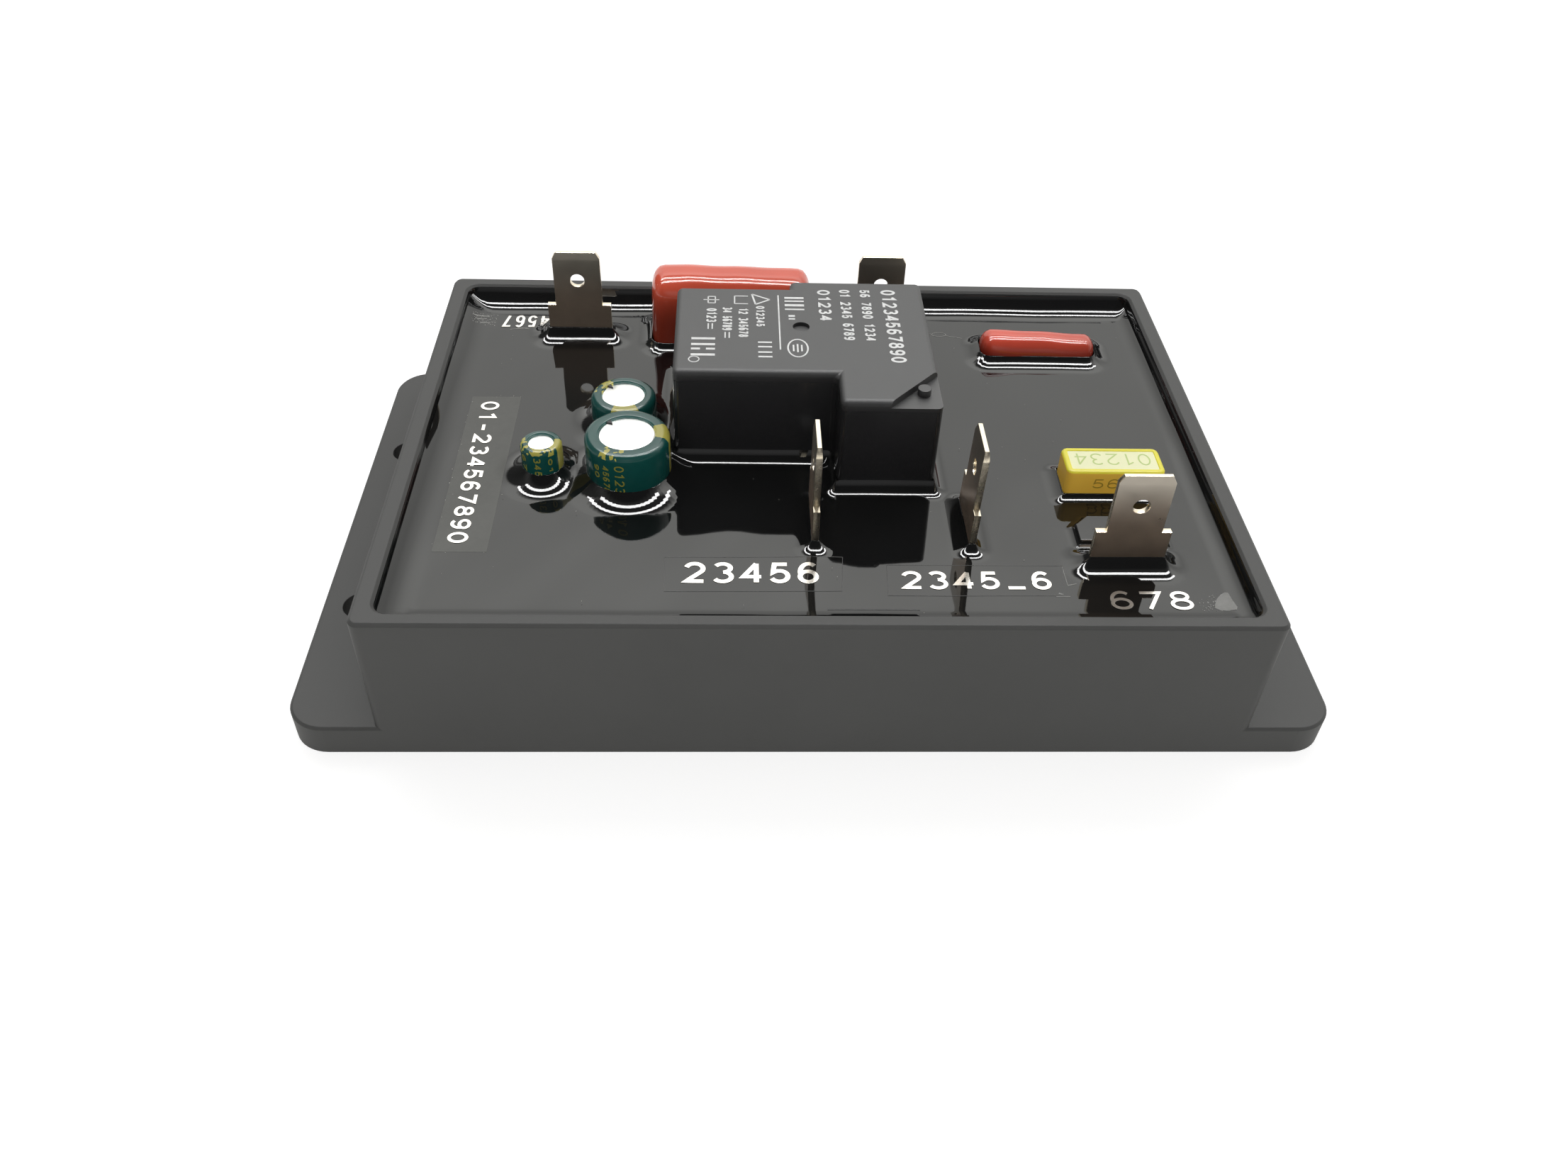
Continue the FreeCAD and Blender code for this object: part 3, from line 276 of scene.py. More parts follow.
finish("relay_base", relay_base_plastic)


# Relay: a sealed T-shaped cover moulded in black PBT, with a fine matt top, glossy sides, a notch with a nib at
# one corner and a vent dimple. It is snapped over its base, whose pins are soldered to the board, and carries
# plain numbers and shapes in white pad print.
def as_mesh(made):
    """The piece with its modifiers worked in, as a plain mesh of the same name."""
    bpy.context.view_layer.update()
    worked = bpy.data.meshes.new_from_object(made.evaluated_get(bpy.context.evaluated_depsgraph_get()))
    name = made.name
    bpy.data.objects.remove(made)
    worked.name = name
    piece = bpy.data.objects.new(name, worked)
    bpy.context.scene.collection.objects.link(piece)
    return piece


def object_of(name, shape, *finishes):
    """A piece from a bmesh, linked to the scene."""
    mesh = bpy.data.meshes.new(name)
    shape.to_mesh(mesh)
    shape.free()
    for made in finishes:
        mesh.materials.append(made)
    piece = bpy.data.objects.new(name, mesh)
    bpy.context.scene.collection.objects.link(piece)
    return piece


def banded(shape, lower, upper):
    """Joins two rings of corners with a band of faces."""
    ahead = lower[1:] + lower[:1], upper[1:] + upper[:1]
    return [shape.faces.new(corners) for corners in zip(lower, *ahead, upper)]


def raised(outline, low, high):
    """A bmesh block: an outline in millimetres, drawn anticlockwise, raised from low to high."""
    shape = bmesh.new()
    foot = [shape.verts.new((x * mm, y * mm, low * mm)) for x, y in outline]
    head = [shape.verts.new((x * mm, y * mm, high * mm)) for x, y in outline]
    shape.faces.new(foot[::-1])
    shape.faces.new(head)
    banded(shape, foot, head)
    return shape


def evened(piece, sharp=35.0):
    """Smooths a piece over its rounded edges and keeps its flat faces flat."""
    for face in piece.data.polygons:
        face.use_smooth = True
    piece.data.set_sharp_from_angle(angle=math.radians(sharp))
    flat = piece.modifiers.new("flat_faces", "WEIGHTED_NORMAL")
    flat.keep_sharp = True
    flat.weight = 100
    return as_mesh(piece)


def softened(piece, radius, steps=3, sharp=32.0):
    """Rounds a piece's edges and smooths it, the flat faces kept flat."""
    rounder = piece.modifiers.new("rounded", "BEVEL")
    rounder.width = radius * mm
    rounder.segments = steps
    rounder.limit_method = "ANGLE"
    rounder.angle_limit = math.radians(sharp)
    return evened(as_mesh(piece))


def cut(piece, tool):
    """Takes the tool's shape out of the piece."""
    cutter = piece.modifiers.new("cut", "BOOLEAN")
    cutter.operation = "DIFFERENCE"
    cutter.solver = "EXACT"
    cutter.object = tool
    piece = as_mesh(piece)
    bpy.data.objects.remove(tool)
    return piece


def ring_of(x, y, radius, count=48):
    """A circle's points, anticlockwise."""
    return [(x + radius * math.cos(math.tau * n / count), y + radius * math.sin(math.tau * n / count))
            for n in range(count)]


def fit(piece, slot_name, *replaced):
    """Hangs a piece on the part and hides the solids it stands for."""
    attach(piece, "root")
    if replaced:
        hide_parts(*replaced)


def by_height(tree, low, high, **values):
    """A share that goes from nought to one between two heights in millimetres."""
    where = node_in(tree, "ShaderNodeTexCoord")
    up = node_in(tree, "ShaderNodeSeparateXYZ")
    share = node_in(tree, "ShaderNodeMapRange", From_Min=low * mm, From_Max=high * mm, **values)
    join(tree, (where, "Object"), (up, 0), (up, "Z"), (share, "Value"))
    return share


board_top, relay_top, above_relay = 10.5, 30.5, 32.0
relay_right, relay_front = 14.5, -9.3
notch_x, notch_y, notch_floor, past_edge = 6.2, 6.8, 29.6, 1.1
relay_plastic = surface("relay_plastic", (0.0145, 0.0145, 0.0155), 0.24, cloud=250.0, drift=0.1, grain=5200.0,
                        depth=0.004, gloss_drift=0.03, ior=1.62)
tree = relay_plastic.node_tree
skin = tree.nodes["Principled BSDF"]
smooth_side = skin.inputs["Roughness"].links[0].from_socket
near_top, matt = by_height(tree, 29.0, 29.9, To_Max=0.34), maths(tree, "ADD")
join(tree, (near_top, 0), (matt, 0), (matt, 0), (skin, "Roughness"))
tree.links.new(smooth_side, matt.inputs[1])
relay_outline = [(-17.1, -3.38), (2.6, -3.38), (2.6, relay_front), (relay_right, relay_front),
                 (relay_right, 18.16), (-2.6, 18.16), (-2.6, 16.3), (-17.1, 16.3)]
relay_cover = object_of("relay_shell", raised(relay_outline, board_top, relay_top))
rounder = relay_cover.modifiers.new("rounded", "BEVEL")
rounder.width = 0.75 * mm
rounder.segments = 6
relay_cover = as_mesh(relay_cover)
notch = [(relay_right - notch_x - past_edge, relay_front - 1.2), (relay_right + past_edge, relay_front - 1.2),
         (relay_right + past_edge, relay_front + notch_y + 1.2)]
mouth = [(-16.0, -2.28), (3.7, -2.28), (3.7, -8.2), (13.4, -8.2), (13.4, 17.06), (-1.5, 17.06), (-1.5, 15.2),
         (-16.0, 15.2)]
for tool, outline, low, high in (("notch_tool", notch, notch_floor, above_relay),
                                 ("dimple_tool", ring_of(-1.5, 6.83, 1.05), 30.0, above_relay),
                                 ("mouth_tool", mouth, board_top - 1, 13.5)):
    relay_cover = cut(relay_cover, object_of(tool, raised(outline, low, high)))
relay_cover.data.materials.clear()
relay_cover.data.materials.append(relay_plastic)
relay_cover = evened(relay_cover)
relay_nib = softened(object_of("relay_nib", raised(ring_of(12.5, -6.3, 0.8, 32), 29.3, relay_top), relay_plastic),
                     0.12, 2)
fit(relay_cover, "relay_plastic", "relay_cover")
fit(relay_nib, "relay_plastic")

pad_print = surface("pad_print", (0.86, 0.88, 0.87), 0.4, cloud=1400.0, drift=0.25, grain=6000.0,
                    depth=0.003)


def sweep(x, y, wide, tall, first, last, steps=14):
    """Points along part of an ellipse, from one angle to another."""
    return [(x + wide * math.cos(math.radians(first + (last - first) * n / steps)),
             y + tall * math.sin(math.radians(first + (last - first) * n / steps))) for n in range(steps + 1)]


numeral_strokes = {
    "0": [sweep(0.3, 0.5, 0.27, 0.47, 0, 360, 28)],
    "1": [[(0.10, 0.76), (0.36, 0.95), (0.36, 0.0)]],
    "2": [sweep(0.3, 0.70, 0.26, 0.26, 165, -38) + [(0.05, 0.04), (0.58, 0.04)]],
    "3": [sweep(0.29, 0.74, 0.24, 0.22, 150, -85), sweep(0.29, 0.28, 0.27, 0.25, 85, -150)],
    "4": [[(0.45, 0.97), (0.05, 0.29), (0.60, 0.29)], [(0.45, 0.97), (0.45, 0.0)]],
    "5": [[(0.53, 0.94), (0.14, 0.94), (0.09, 0.50)] + sweep(0.29, 0.32, 0.26, 0.28, 120, -155)],
    "6": [sweep(0.33, 0.52, 0.27, 0.45, 50, 190, 12), sweep(0.3, 0.30, 0.25, 0.27, 0, 360, 24)],
    "7": [[(0.04, 0.94), (0.57, 0.94), (0.22, 0.0)]],
    "8": [sweep(0.3, 0.74, 0.21, 0.21, 0, 360, 24), sweep(0.3, 0.28, 0.26, 0.25, 0, 360, 24)],
    "9": [sweep(0.27, 0.46, 0.27, 0.45, -130, 10, 12), sweep(0.3, 0.68, 0.25, 0.27, 0, 360, 24)],
    "-": [[(0.08, 0.42), (0.52, 0.42)]],
    "_": [[(0.02, 0.04), (0.58, 0.04)]],
}


def stroke(shape, points, wide, low, high, longest=0.6):
    """Adds a ribbon of even width along points in millimetres, mitred at its bends, in short lengths."""
    closed = math.dist(points[0], points[-1]) < 1e-6
    path = [Vector(p) for p in (points[:-1] if closed else points)]
    divided = []
    for n, spot in enumerate(path):
        after = path[(n + 1) % len(path)]
        count = max(1, math.ceil((after - spot).length / longest)) if closed or n < len(path) - 1 else 1
        divided += [spot.lerp(after, k / count) for k in range(count)]
    count = len(divided)
    rings = []
    for n, spot in enumerate(divided):
        before = divided[n - 1] if closed or n else None
        after = divided[(n + 1) % count] if closed or n < count - 1 else None
        ways = [(b - a).normalized() for a, b in ((before, spot), (spot, after)) if None not in (a, b)]
        along = sum(ways, Vector((0, 0))).normalized()
        reach = wide / 2 / max(0.45, along.dot(ways[0]))
        side = Vector((-along.y, along.x)) * reach
        section = (spot + side, low), (spot - side, low), (spot - side, high), (spot + side, high)
        rings.append([shape.verts.new((q.x * mm, q.y * mm, z * mm)) for q, z in section])
    for n in range(count if closed else count - 1):
        banded(shape, rings[n], rings[(n + 1) % count])
    if not closed:
        shape.faces.new(rings[0][::-1])
        shape.faces.new(rings[-1])


def lettered(name, text, start, stop, tall, ink, height, wide=0.16, thick=0.02, share=0.86):
    """Plain numerals from one point to another, their heads to the left of the way they read."""
    run = Vector(stop) - Vector(start)
    pitch = run.length / (len(text) - 1 + share)
    turn = Matrix.Rotation(math.atan2(run.y, run.x), 2)
    ink_in = wide / 2
    shape = bmesh.new()
    for place, digit in enumerate(text):
        for number, points in enumerate(numeral_strokes.get(digit, [])):
            spots = [turn @ Vector((pitch * place + ink_in + u / 0.6 * (share * pitch - 2 * ink_in),
                                    ink_in + v * (tall - 2 * ink_in))) + Vector(start) for u, v in points]
            lift = 0.004 * number
            stroke(shape, [tuple(q) for q in spots], wide, height - thick + lift, height + thick + lift)
    bmesh.ops.recalc_face_normals(shape, faces=shape.faces)
    return object_of(name, shape, ink)


def shapes(name, outlines, height, ink, thick=0.02):
    """Flat printed or cut shapes in one piece, each an outline in millimetres."""
    whole = bmesh.new()
    for outline in outlines:
        part = raised(outline, height - thick, height + thick)
        mesh = bpy.data.meshes.new("shape")
        part.to_mesh(mesh)
        part.free()
        whole.from_mesh(mesh)
        bpy.data.meshes.remove(mesh)
    return object_of(name, whole, ink)


def bar(ax, ay, bx, by, wide):
    """The outline of a straight stroke."""
    along = Vector((bx - ax, by - ay)).normalized() * wide / 2
    return [(ax + along.y, ay - along.x), (bx + along.y, by - along.x), (bx - along.y, by + along.x),
            (ax - along.y, ay + along.x)]


def hoop(x, y, radius, wide, count=32, squash=1.0):
    """A ring drawn as short strokes."""
    spots = [(x + radius * squash * math.cos(math.tau * n / count), y + radius * math.sin(math.tau * n / count))
             for n in range(count + 1)]
    return [bar(*spots[n], *spots[n + 1], wide) for n in range(count)]


def bars(*strokes):
    """Straight strokes, each from its two ends and its width."""
    return [bar(*each) for each in strokes]


long_line = bars((-4.2, 14.3, -4.2, 1.5, 0.17))
triangle = bars((-7.55, 14.5, -7.1, 12.0, 0.22), (-7.1, 12.0, -5.3, 13.2, 0.22), (-5.3, 13.2, -7.55, 14.5, 0.22))
open_square = bars((-9.75, 14.0, -8.05, 14.0, 0.16), (-9.75, 12.1, -8.05, 12.1, 0.16),
                   (-9.75, 14.0, -9.75, 12.1, 0.16))
crossed_box = bars((-13.7, 13.0, -11.7, 13.0, 0.16), (-13.1, 13.8, -12.2, 13.8, 0.16),
                   (-13.1, 12.2, -12.2, 12.2, 0.16), (-13.1, 13.8, -13.1, 12.2, 0.16),
                   (-12.2, 13.8, -12.2, 12.2, 0.16))
short_pairs = bars((-13.0, 7.3, -13.0, 6.0, 0.16), (-12.5, 7.3, -12.5, 6.0, 0.16), (-10.9, 5.3, -10.9, 4.0, 0.16),
                   (-10.4, 5.3, -10.4, 4.0, 0.16))
barred_oval = hoop(-2.07, 1.9, 1.95, 0.2, squash=0.62)
small_ring = hoop(-14.6, -0.8, 0.62, 0.14, 20)
oval_bars = bars((-2.6, 2.6, -2.6, 1.2, 0.2), (-2.1, 2.8, -2.1, 1.0, 0.2), (-1.6, 2.6, -1.6, 1.2, 0.2))
middle_stack = bars((-6.9, 3.1, -5.2, 3.1, 0.3), (-6.9, 2.1, -5.2, 2.1, 0.3), (-6.9, 0.9, -5.2, 0.9, 0.3),
                    (-6.9, -0.1, -5.2, -0.1, 0.3))
broad_stack = bars((-15.0, 3.8, -12.1, 3.8, 0.45), (-15.0, 2.5, -12.1, 2.5, 0.45), (-15.0, 1.5, -13.9, 1.5, 0.4),
                   (-13.2, 1.5, -12.1, 1.5, 0.4), (-15.0, 0.2, -12.1, 0.2, 0.45))
rear_stack = bars((-3.4, 13.7, -0.95, 13.7, 0.42), (-3.4, 12.9, -0.95, 12.9, 0.3), (-3.4, 11.9, -0.95, 11.9, 0.5),
                  (-3.4, 10.9, -0.95, 10.9, 0.3), (-3.0, 9.3, -2.2, 9.3, 0.4), (-3.0, 8.6, -2.2, 8.6, 0.3))
print_height = relay_top + 0.005
fit(shapes("relay_print_shapes", long_line + triangle + open_square + crossed_box + short_pairs + barred_oval
           + small_ring + oval_bars + middle_stack + broad_stack + rear_stack, print_height, pad_print),
    "relay_plastic")
for name, text, x, start, stop, tall in (
        ("relay_print_a", "0123", -13.3, 10.9, 7.6, 1.35), ("relay_print_b", "34 56789", -11.3, 11.2, 5.7, 1.3),
        ("relay_print_c", "12 345678", -9.3, 11.0, 4.2, 1.3), ("relay_print_d", "012345", -7.1, 11.6, 6.7, 1.15),
        ("relay_print_e", "01234", 0.8, 15.85, 8.25, 1.75),
        ("relay_print_f", "01 2345 6789", 3.65, 15.95, 3.8, 1.45),
        ("relay_print_g", "56 7890 1234", 6.3, 16.0, 3.7, 1.4),
        ("relay_print_h", "01234567890", 9.0, 16.05, -1.1, 2.0)):
    numbers = lettered(name, text, (x, start), (x, stop), tall, pad_print, print_height, 0.14 * tall + 0.055)
    fit(numbers, "relay_plastic")


# Quick-connect tabs: five blades of 0.8 mm tin-plated brass, 6.35 mm wide with a chamfered tip, a detent hole
# and square shoulders, punched from strip. The cut edges are given a brighter, paler metal than the rolled faces,
# a painted glint, and the rolled faces carry a painted reflection that changes with height. Two legs under each
# are soldered to the board. What stands in the resin is noted with how the resin wets it: radius and height.
resin_level = 17.7
feet = []


def tinted(made, share, colour, at_one=True):
    """Mixes a second colour into a finish, where a share is one, or else where it is nought."""
    tree = made.node_tree
    skin = tree.nodes["Principled BSDF"]
    ground = skin.inputs["Base Color"].links[0].from_socket
    mixed = node_in(tree, "ShaderNodeMix", data_type="RGBA")
    mixed.inputs["B" if at_one else "A"].default_value = (*colour, 1)
    join(tree, (share, 0), (mixed, "Factor"), (mixed, "Result"), (skin, "Base Color"))
    tree.links.new(ground, mixed.inputs["A" if at_one else "B"])


tin_plate = surface("tin_plate", (0.57, 0.445, 0.345), 0.32, cloud=420.0, drift=0.12, grain=700.0, depth=0.0004,
                    gloss_drift=0.1, metallic=0.9)
# Painted reflection: the rolled faces turn greyer and darker from 22.5 to 29.5 mm up, for the change in what they
# mirror.
tinted(tin_plate, by_height(tin_plate.node_tree, 22.5, 29.5, interpolation_type="SMOOTHSTEP"), (0.41, 0.37, 0.315))
# Painted glint: the cut edges get a brighter, paler metal than the rolled faces, for the light they catch from
# above.
painted_edge_glint = surface("painted_edge_glint", (0.76, 0.68, 0.54), 0.26, cloud=1800.0, drift=0.1, grain=5000.0, depth=0.004,
                   metallic=1.0)
foot_half_wide, foot_half_thick = 4.3, 0.4
hole_up, hole_radius = 16.0, 0.95
tip_starts, tip_long, tip_thinned = 18.9, 1.2, 0.35
broken_edge = 0.07
blade_edge = [(1.9, 0.0), (1.9, -3.2), (3.1, -3.2), (3.1, 0.0), (foot_half_wide, 0.0), (foot_half_wide, 12.3),
              (3.175, 12.3), (3.175, 19.2), (2.675, 20.1)]
blade_outline = blade_edge + [(-x, z) for x, z in reversed(blade_edge)]


def tab(name, x, y, turn=0.0, lean=0.0, wetting=(3.2, 0.9)):
    """One blade: a flat outline with its hole, given its thickness, slightly broken edges and a thinned tip."""
    drawn = bpy.data.curves.new(name + "_blade", "CURVE")
    drawn.dimensions = "2D"
    drawn.fill_mode = "BOTH"
    for outline in (blade_outline, ring_of(0.0, hole_up, hole_radius, 40)):
        line = drawn.splines.new("POLY")
        line.points.add(len(outline) - 1)
        for spot, (across, up) in zip(line.points, outline):
            spot.co = (across * mm, up * mm, 0.0, 1.0)
        line.use_cyclic_u = True
    drawn.extrude = 0.33 * mm
    drawn.bevel_depth = broken_edge * mm
    drawn.bevel_resolution = 1
    drawn.offset = -broken_edge * mm
    blade = bpy.data.objects.new(name + "_blade", drawn)
    bpy.context.scene.collection.objects.link(blade)
    blade = as_mesh(blade)
    shape = bmesh.new()
    shape.from_mesh(blade.data)
    bmesh.ops.bisect_plane(shape, geom=shape.verts[:] + shape.edges[:] + shape.faces[:],
                           plane_co=(0, tip_starts * mm, 0), plane_no=(0, 1, 0))
    for spot in shape.verts:
        spot.co.z *= 1 - tip_thinned * max(0.0, spot.co.y / mm - tip_starts) / tip_long
    shape.to_mesh(blade.data)
    shape.free()
    up_right = Matrix.Rotation(math.radians(90), 4, "X")
    place = (Matrix.Translation(Vector((x, y, board_top)) * mm) @ Matrix.Rotation(math.radians(lean), 4, "Y")
             @ Matrix.Rotation(math.radians(turn), 4, "Z"))
    blade.data.transform(place @ up_right)
    blade.data.materials.append(tin_plate)
    blade.data.materials.append(painted_edge_glint)
    across = (place.to_3x3() @ Vector((0, 1, 0))).normalized()
    for face in blade.data.polygons:
        face.material_index = 0 if abs(face.normal.dot(across)) > 0.9 else 1
    blade.data.set_sharp_from_angle(angle=math.radians(30))
    fit(blade, "tab_metal", name)
    sunk = resin_level - board_top
    cx = x + math.sin(math.radians(lean)) * sunk
    ends = [(sx * foot_half_wide, sy * foot_half_thick) for sx, sy in ((-1, -1), (1, -1), (1, 1), (-1, 1))]
    flat = Matrix.Rotation(math.radians(turn), 2)
    feet.append(([(cx + (flat @ Vector(e)).x, y + (flat @ Vector(e)).y) for e in ends], wetting))


tab("tab_rear_left", -31.0, 24.75, wetting=(4.5, 1.6))
tab("tab_rear_centre", 10.2, 24.75, wetting=(4.5, 1.6))
tab("tab_front_left", -0.4, -15.7, turn=90)
tab("tab_front_middle", 17.5, -16.1, turn=90, lean=1.5)
tab("tab_front_right", 35.1, -22.7, wetting=(4.5, 1.4))
feet.append((relay_outline, (2.5, 1.4)))


# Electrolytic capacitors: drawn aluminium cans in green shrink sleeves with a yellow minus stripe and yellow
# print. The sleeve is shrunk over the rim and leaves the bare pressed end of the can showing. Each stands on the
# board on its two wires.
def spun(name, x, y, profile, *finishes, count=96):
    """A turned piece from its half profile of radius and height, in millimetres."""
    shape = bmesh.new()
    rings = []
    for radius, height in profile:
        if radius < 1e-6:
            rings.append([shape.verts.new((x * mm, y * mm, height * mm))])
        else:
            rings.append([shape.verts.new((px * mm, py * mm, height * mm))
                          for px, py in ring_of(x, y, radius, count)])
    for lower, upper in zip(rings, rings[1:]):
        for n in range(count):
            m = (n + 1) % count
            corners = [lower[n % len(lower)], lower[m % len(lower)], upper[m % len(upper)], upper[n % len(upper)]]
            face = shape.faces.new(list(dict.fromkeys(corners)))
            face.smooth = True
    bmesh.ops.recalc_face_normals(shape, faces=shape.faces)
    return object_of(name, shape, *finishes)


def round_from(tree, place, middle):
    """The parts of a place turned so that a middle angle lies along X, and its angle from there either way."""
    turned = node_in(tree, "ShaderNodeVectorRotate", rotation_type="Z_AXIS", Angle=-middle)
    parts = node_in(tree, "ShaderNodeSeparateXYZ")
    angle, width = maths(tree, "ARCTAN2"), maths(tree, "ABSOLUTE")
    join(tree, (place, 0), (turned, 0), (turned, 0), (parts, 0), (parts, "Y"), (angle, 0),
         (parts, "X"), (angle, 1), (angle, 0), (width, 0))
    return parts, width


def sleeve_finish(name, x, y, stripe, rim_print, rim_low, green=(0.006, 0.075, 0.066), yellow=(0.46, 0.42, 0.08)):
    """Green shrink film with a yellow stripe between two angles, its edges a little ragged, and print that
    shrank over the rim between two other angles, broken up."""
    made = surface(name, green, 0.22, cloud=500.0, drift=0.12, grain=900.0, depth=0.012, gloss_drift=0.05)
    tree = made.node_tree
    where = node_in(tree, "ShaderNodeTexCoord")
    centred = node_in(tree, "ShaderNodeMapping", vector_type="POINT", Location=(-x * mm, -y * mm, 0))
    _, stripe_angle = round_from(tree, centred, math.radians(sum(stripe) / 2))
    ragged = node_in(tree, "ShaderNodeTexNoise", Scale=2600.0, Detail=2.0)
    wobble = maths(tree, "MULTIPLY_ADD", 0.05)
    in_stripe = maths(tree, "LESS_THAN", math.radians((stripe[1] - stripe[0]) / 2) + 0.025)
    parts, print_angle = round_from(tree, centred, math.radians(sum(rim_print) / 2))
    in_print = maths(tree, "LESS_THAN", math.radians((rim_print[1] - rim_print[0]) / 2))
    bits = node_in(tree, "ShaderNodeTexNoise", Scale=1500.0, Detail=1.0)
    some = maths(tree, "GREATER_THAN", 0.52)
    high = maths(tree, "GREATER_THAN", rim_low * mm)
    here, there, either = maths(tree, "MULTIPLY"), maths(tree, "MULTIPLY"), maths(tree, "MAXIMUM")
    join(tree, (print_angle, 0), (in_print, 0), (where, "Object"), (bits, "Vector"), (bits, "Fac"), (some, 0),
         (parts, "Z"), (high, 0), (some, 0), (here, 0), (high, 0), (here, 1), (here, 0), (there, 0),
         (in_print, 0), (there, 1), (there, 0), (either, 0), (in_stripe, 0), (either, 1))
    join(tree, (where, "Object"), (centred, 0), (where, "Object"), (ragged, "Vector"),
         (ragged, "Fac"), (wobble, 0), (stripe_angle, 0), (wobble, 2), (wobble, 0), (in_stripe, 0))
    tinted(made, either, yellow)
    return made


def pressed_end(name, x, y):
    """Bright drawn aluminium with the pressed cross that lets the can vent."""
    made = surface(name, (0.92, 0.92, 0.91), 0.22, cloud=900.0, drift=0.04, grain=4000.0, depth=0.004,
                   metallic=1.0)
    tree = made.node_tree
    bumps = tree.nodes["Bump"]
    fine = bumps.inputs["Height"].links[0].from_socket
    where = node_in(tree, "ShaderNodeTexCoord")
    centred = node_in(tree, "ShaderNodeMapping", vector_type="POINT", Location=(-x * mm, -y * mm, 0))
    turned = node_in(tree, "ShaderNodeVectorRotate", rotation_type="Z_AXIS", Angle=math.radians(24))
    parts = node_in(tree, "ShaderNodeSeparateXYZ")
    join(tree, (where, "Object"), (centred, 0), (centred, 0), (turned, 0), (turned, 0), (parts, 0))
    arms = []
    for axis in ("X", "Y"):
        off, line = maths(tree, "ABSOLUTE"), maths(tree, "GREATER_THAN", 0.11 * mm)
        join(tree, (parts, axis), (off, 0), (off, 0), (line, 0))
        arms.append(line)
    both, deep = maths(tree, "MINIMUM"), maths(tree, "MULTIPLY_ADD", 14.0)
    join(tree, (arms[0], 0), (both, 0), (arms[1], 0), (both, 1), (both, 0), (deep, 0),
         (deep, 0), (bumps, "Height"))
    tree.links.new(fine, deep.inputs[2])
    return made


gold_print = surface("gold_print", (0.25, 0.24, 0.04), 0.35, cloud=2600.0, drift=0.35, grain=6000.0,
                     depth=0.003)


def wrapped(name, text, x, y, radius, angle, high, low, wide):
    """Print that reads down the can: numerals laid flat, then bent round the sleeve."""
    piece = lettered(name, text, (0, 0), (high - low, 0), wide, gold_print, 0.0, 0.17, 0.02)
    for spot in piece.data.vertices:
        down, over, out = spot.co / mm
        at = math.radians(angle) + (over - wide / 2) / radius
        spot.co = Vector((x + math.cos(at) * (radius + out), y + math.sin(at) * (radius + out), high - down)) * mm
    return piece


def electrolytic(size, x, y, radius, top, disc, stripe, rim_print, wetting, columns):
    """One can, from its place, radius, top height, bare disc, angles of its stripe and of the print on its rim,
    how the resin wets it, and its columns of print."""
    rim = 0.85 if radius > 3 else 0.6
    profile = [(radius - 0.2, board_top), (radius, board_top), (radius, top - rim)]
    for n in range(1, 8):
        at = math.radians(90 * n / 7)
        profile.append((radius - rim * (1 - math.cos(at)), top - rim * (1 - math.sin(at))))
    profile += [(disc + 0.18, top + 0.02), (disc + 0.05, top - 0.02), (disc, top - 0.1), (disc, top - 0.3),
                (radius - 0.2, top - 1.2)]
    sleeve = spun(f"{size}_sleeve", x, y, profile + profile[:1],
                  sleeve_finish(f"{size}_sleeve_film", x, y, stripe, rim_print, top - 0.7))
    fit(sleeve, "green_sleeve", f"{size}_can_sleeve")
    end = [(0, board_top), (radius - 0.25, board_top), (radius - 0.25, top - 1.3), (disc + 0.1, top - 0.35),
           (disc - 0.02, top - 0.28), (disc - 0.25, top - 0.2), (0, top - 0.2)]
    can = spun(f"{size}_can_metal", x, y, end, pressed_end(f"{size}_can_end", x, y))
    can.data.set_sharp_from_angle(angle=math.radians(30))
    fit(can, "can_aluminium", f"{size}_can")
    for number, (text, angle, high, low, wide) in enumerate(columns):
        fit(wrapped(f"{size}_can_print_{number}", text, x, y, radius, angle, high, low, wide), "green_sleeve")
    feet.append((ring_of(x, y, radius, 72), wetting))


cans = (
    ("large", -22.46, -7.03, 5.1, 24.2, 3.4, (-13, 24), (-128, -92), (5.8, 1.45),
     (("0123", -98, 23.0, 18.9, 1.25), ("45678", -117, 22.6, 18.7, 0.95), ("90", -132, 22.4, 20.4, 0.8))),
    ("medium", -23.7, 4.05, 4.1, 22.2, 2.75, (-110, -58), (110, 175), (5.0, 1.3),
     (("012", 150, 21.2, 18.9, 1.0),)),
    ("small", -32.85, -6.57, 2.5, 22.5, 1.6, (-34, 14), (-200, -20), (5.4, 1.5),
     (("345", -96, 21.8, 19.0, 0.95), ("67", -140, 21.7, 19.4, 0.8), ("01", -60, 21.5, 19.3, 0.6))),
)
for can in cans:
    electrolytic(*can)


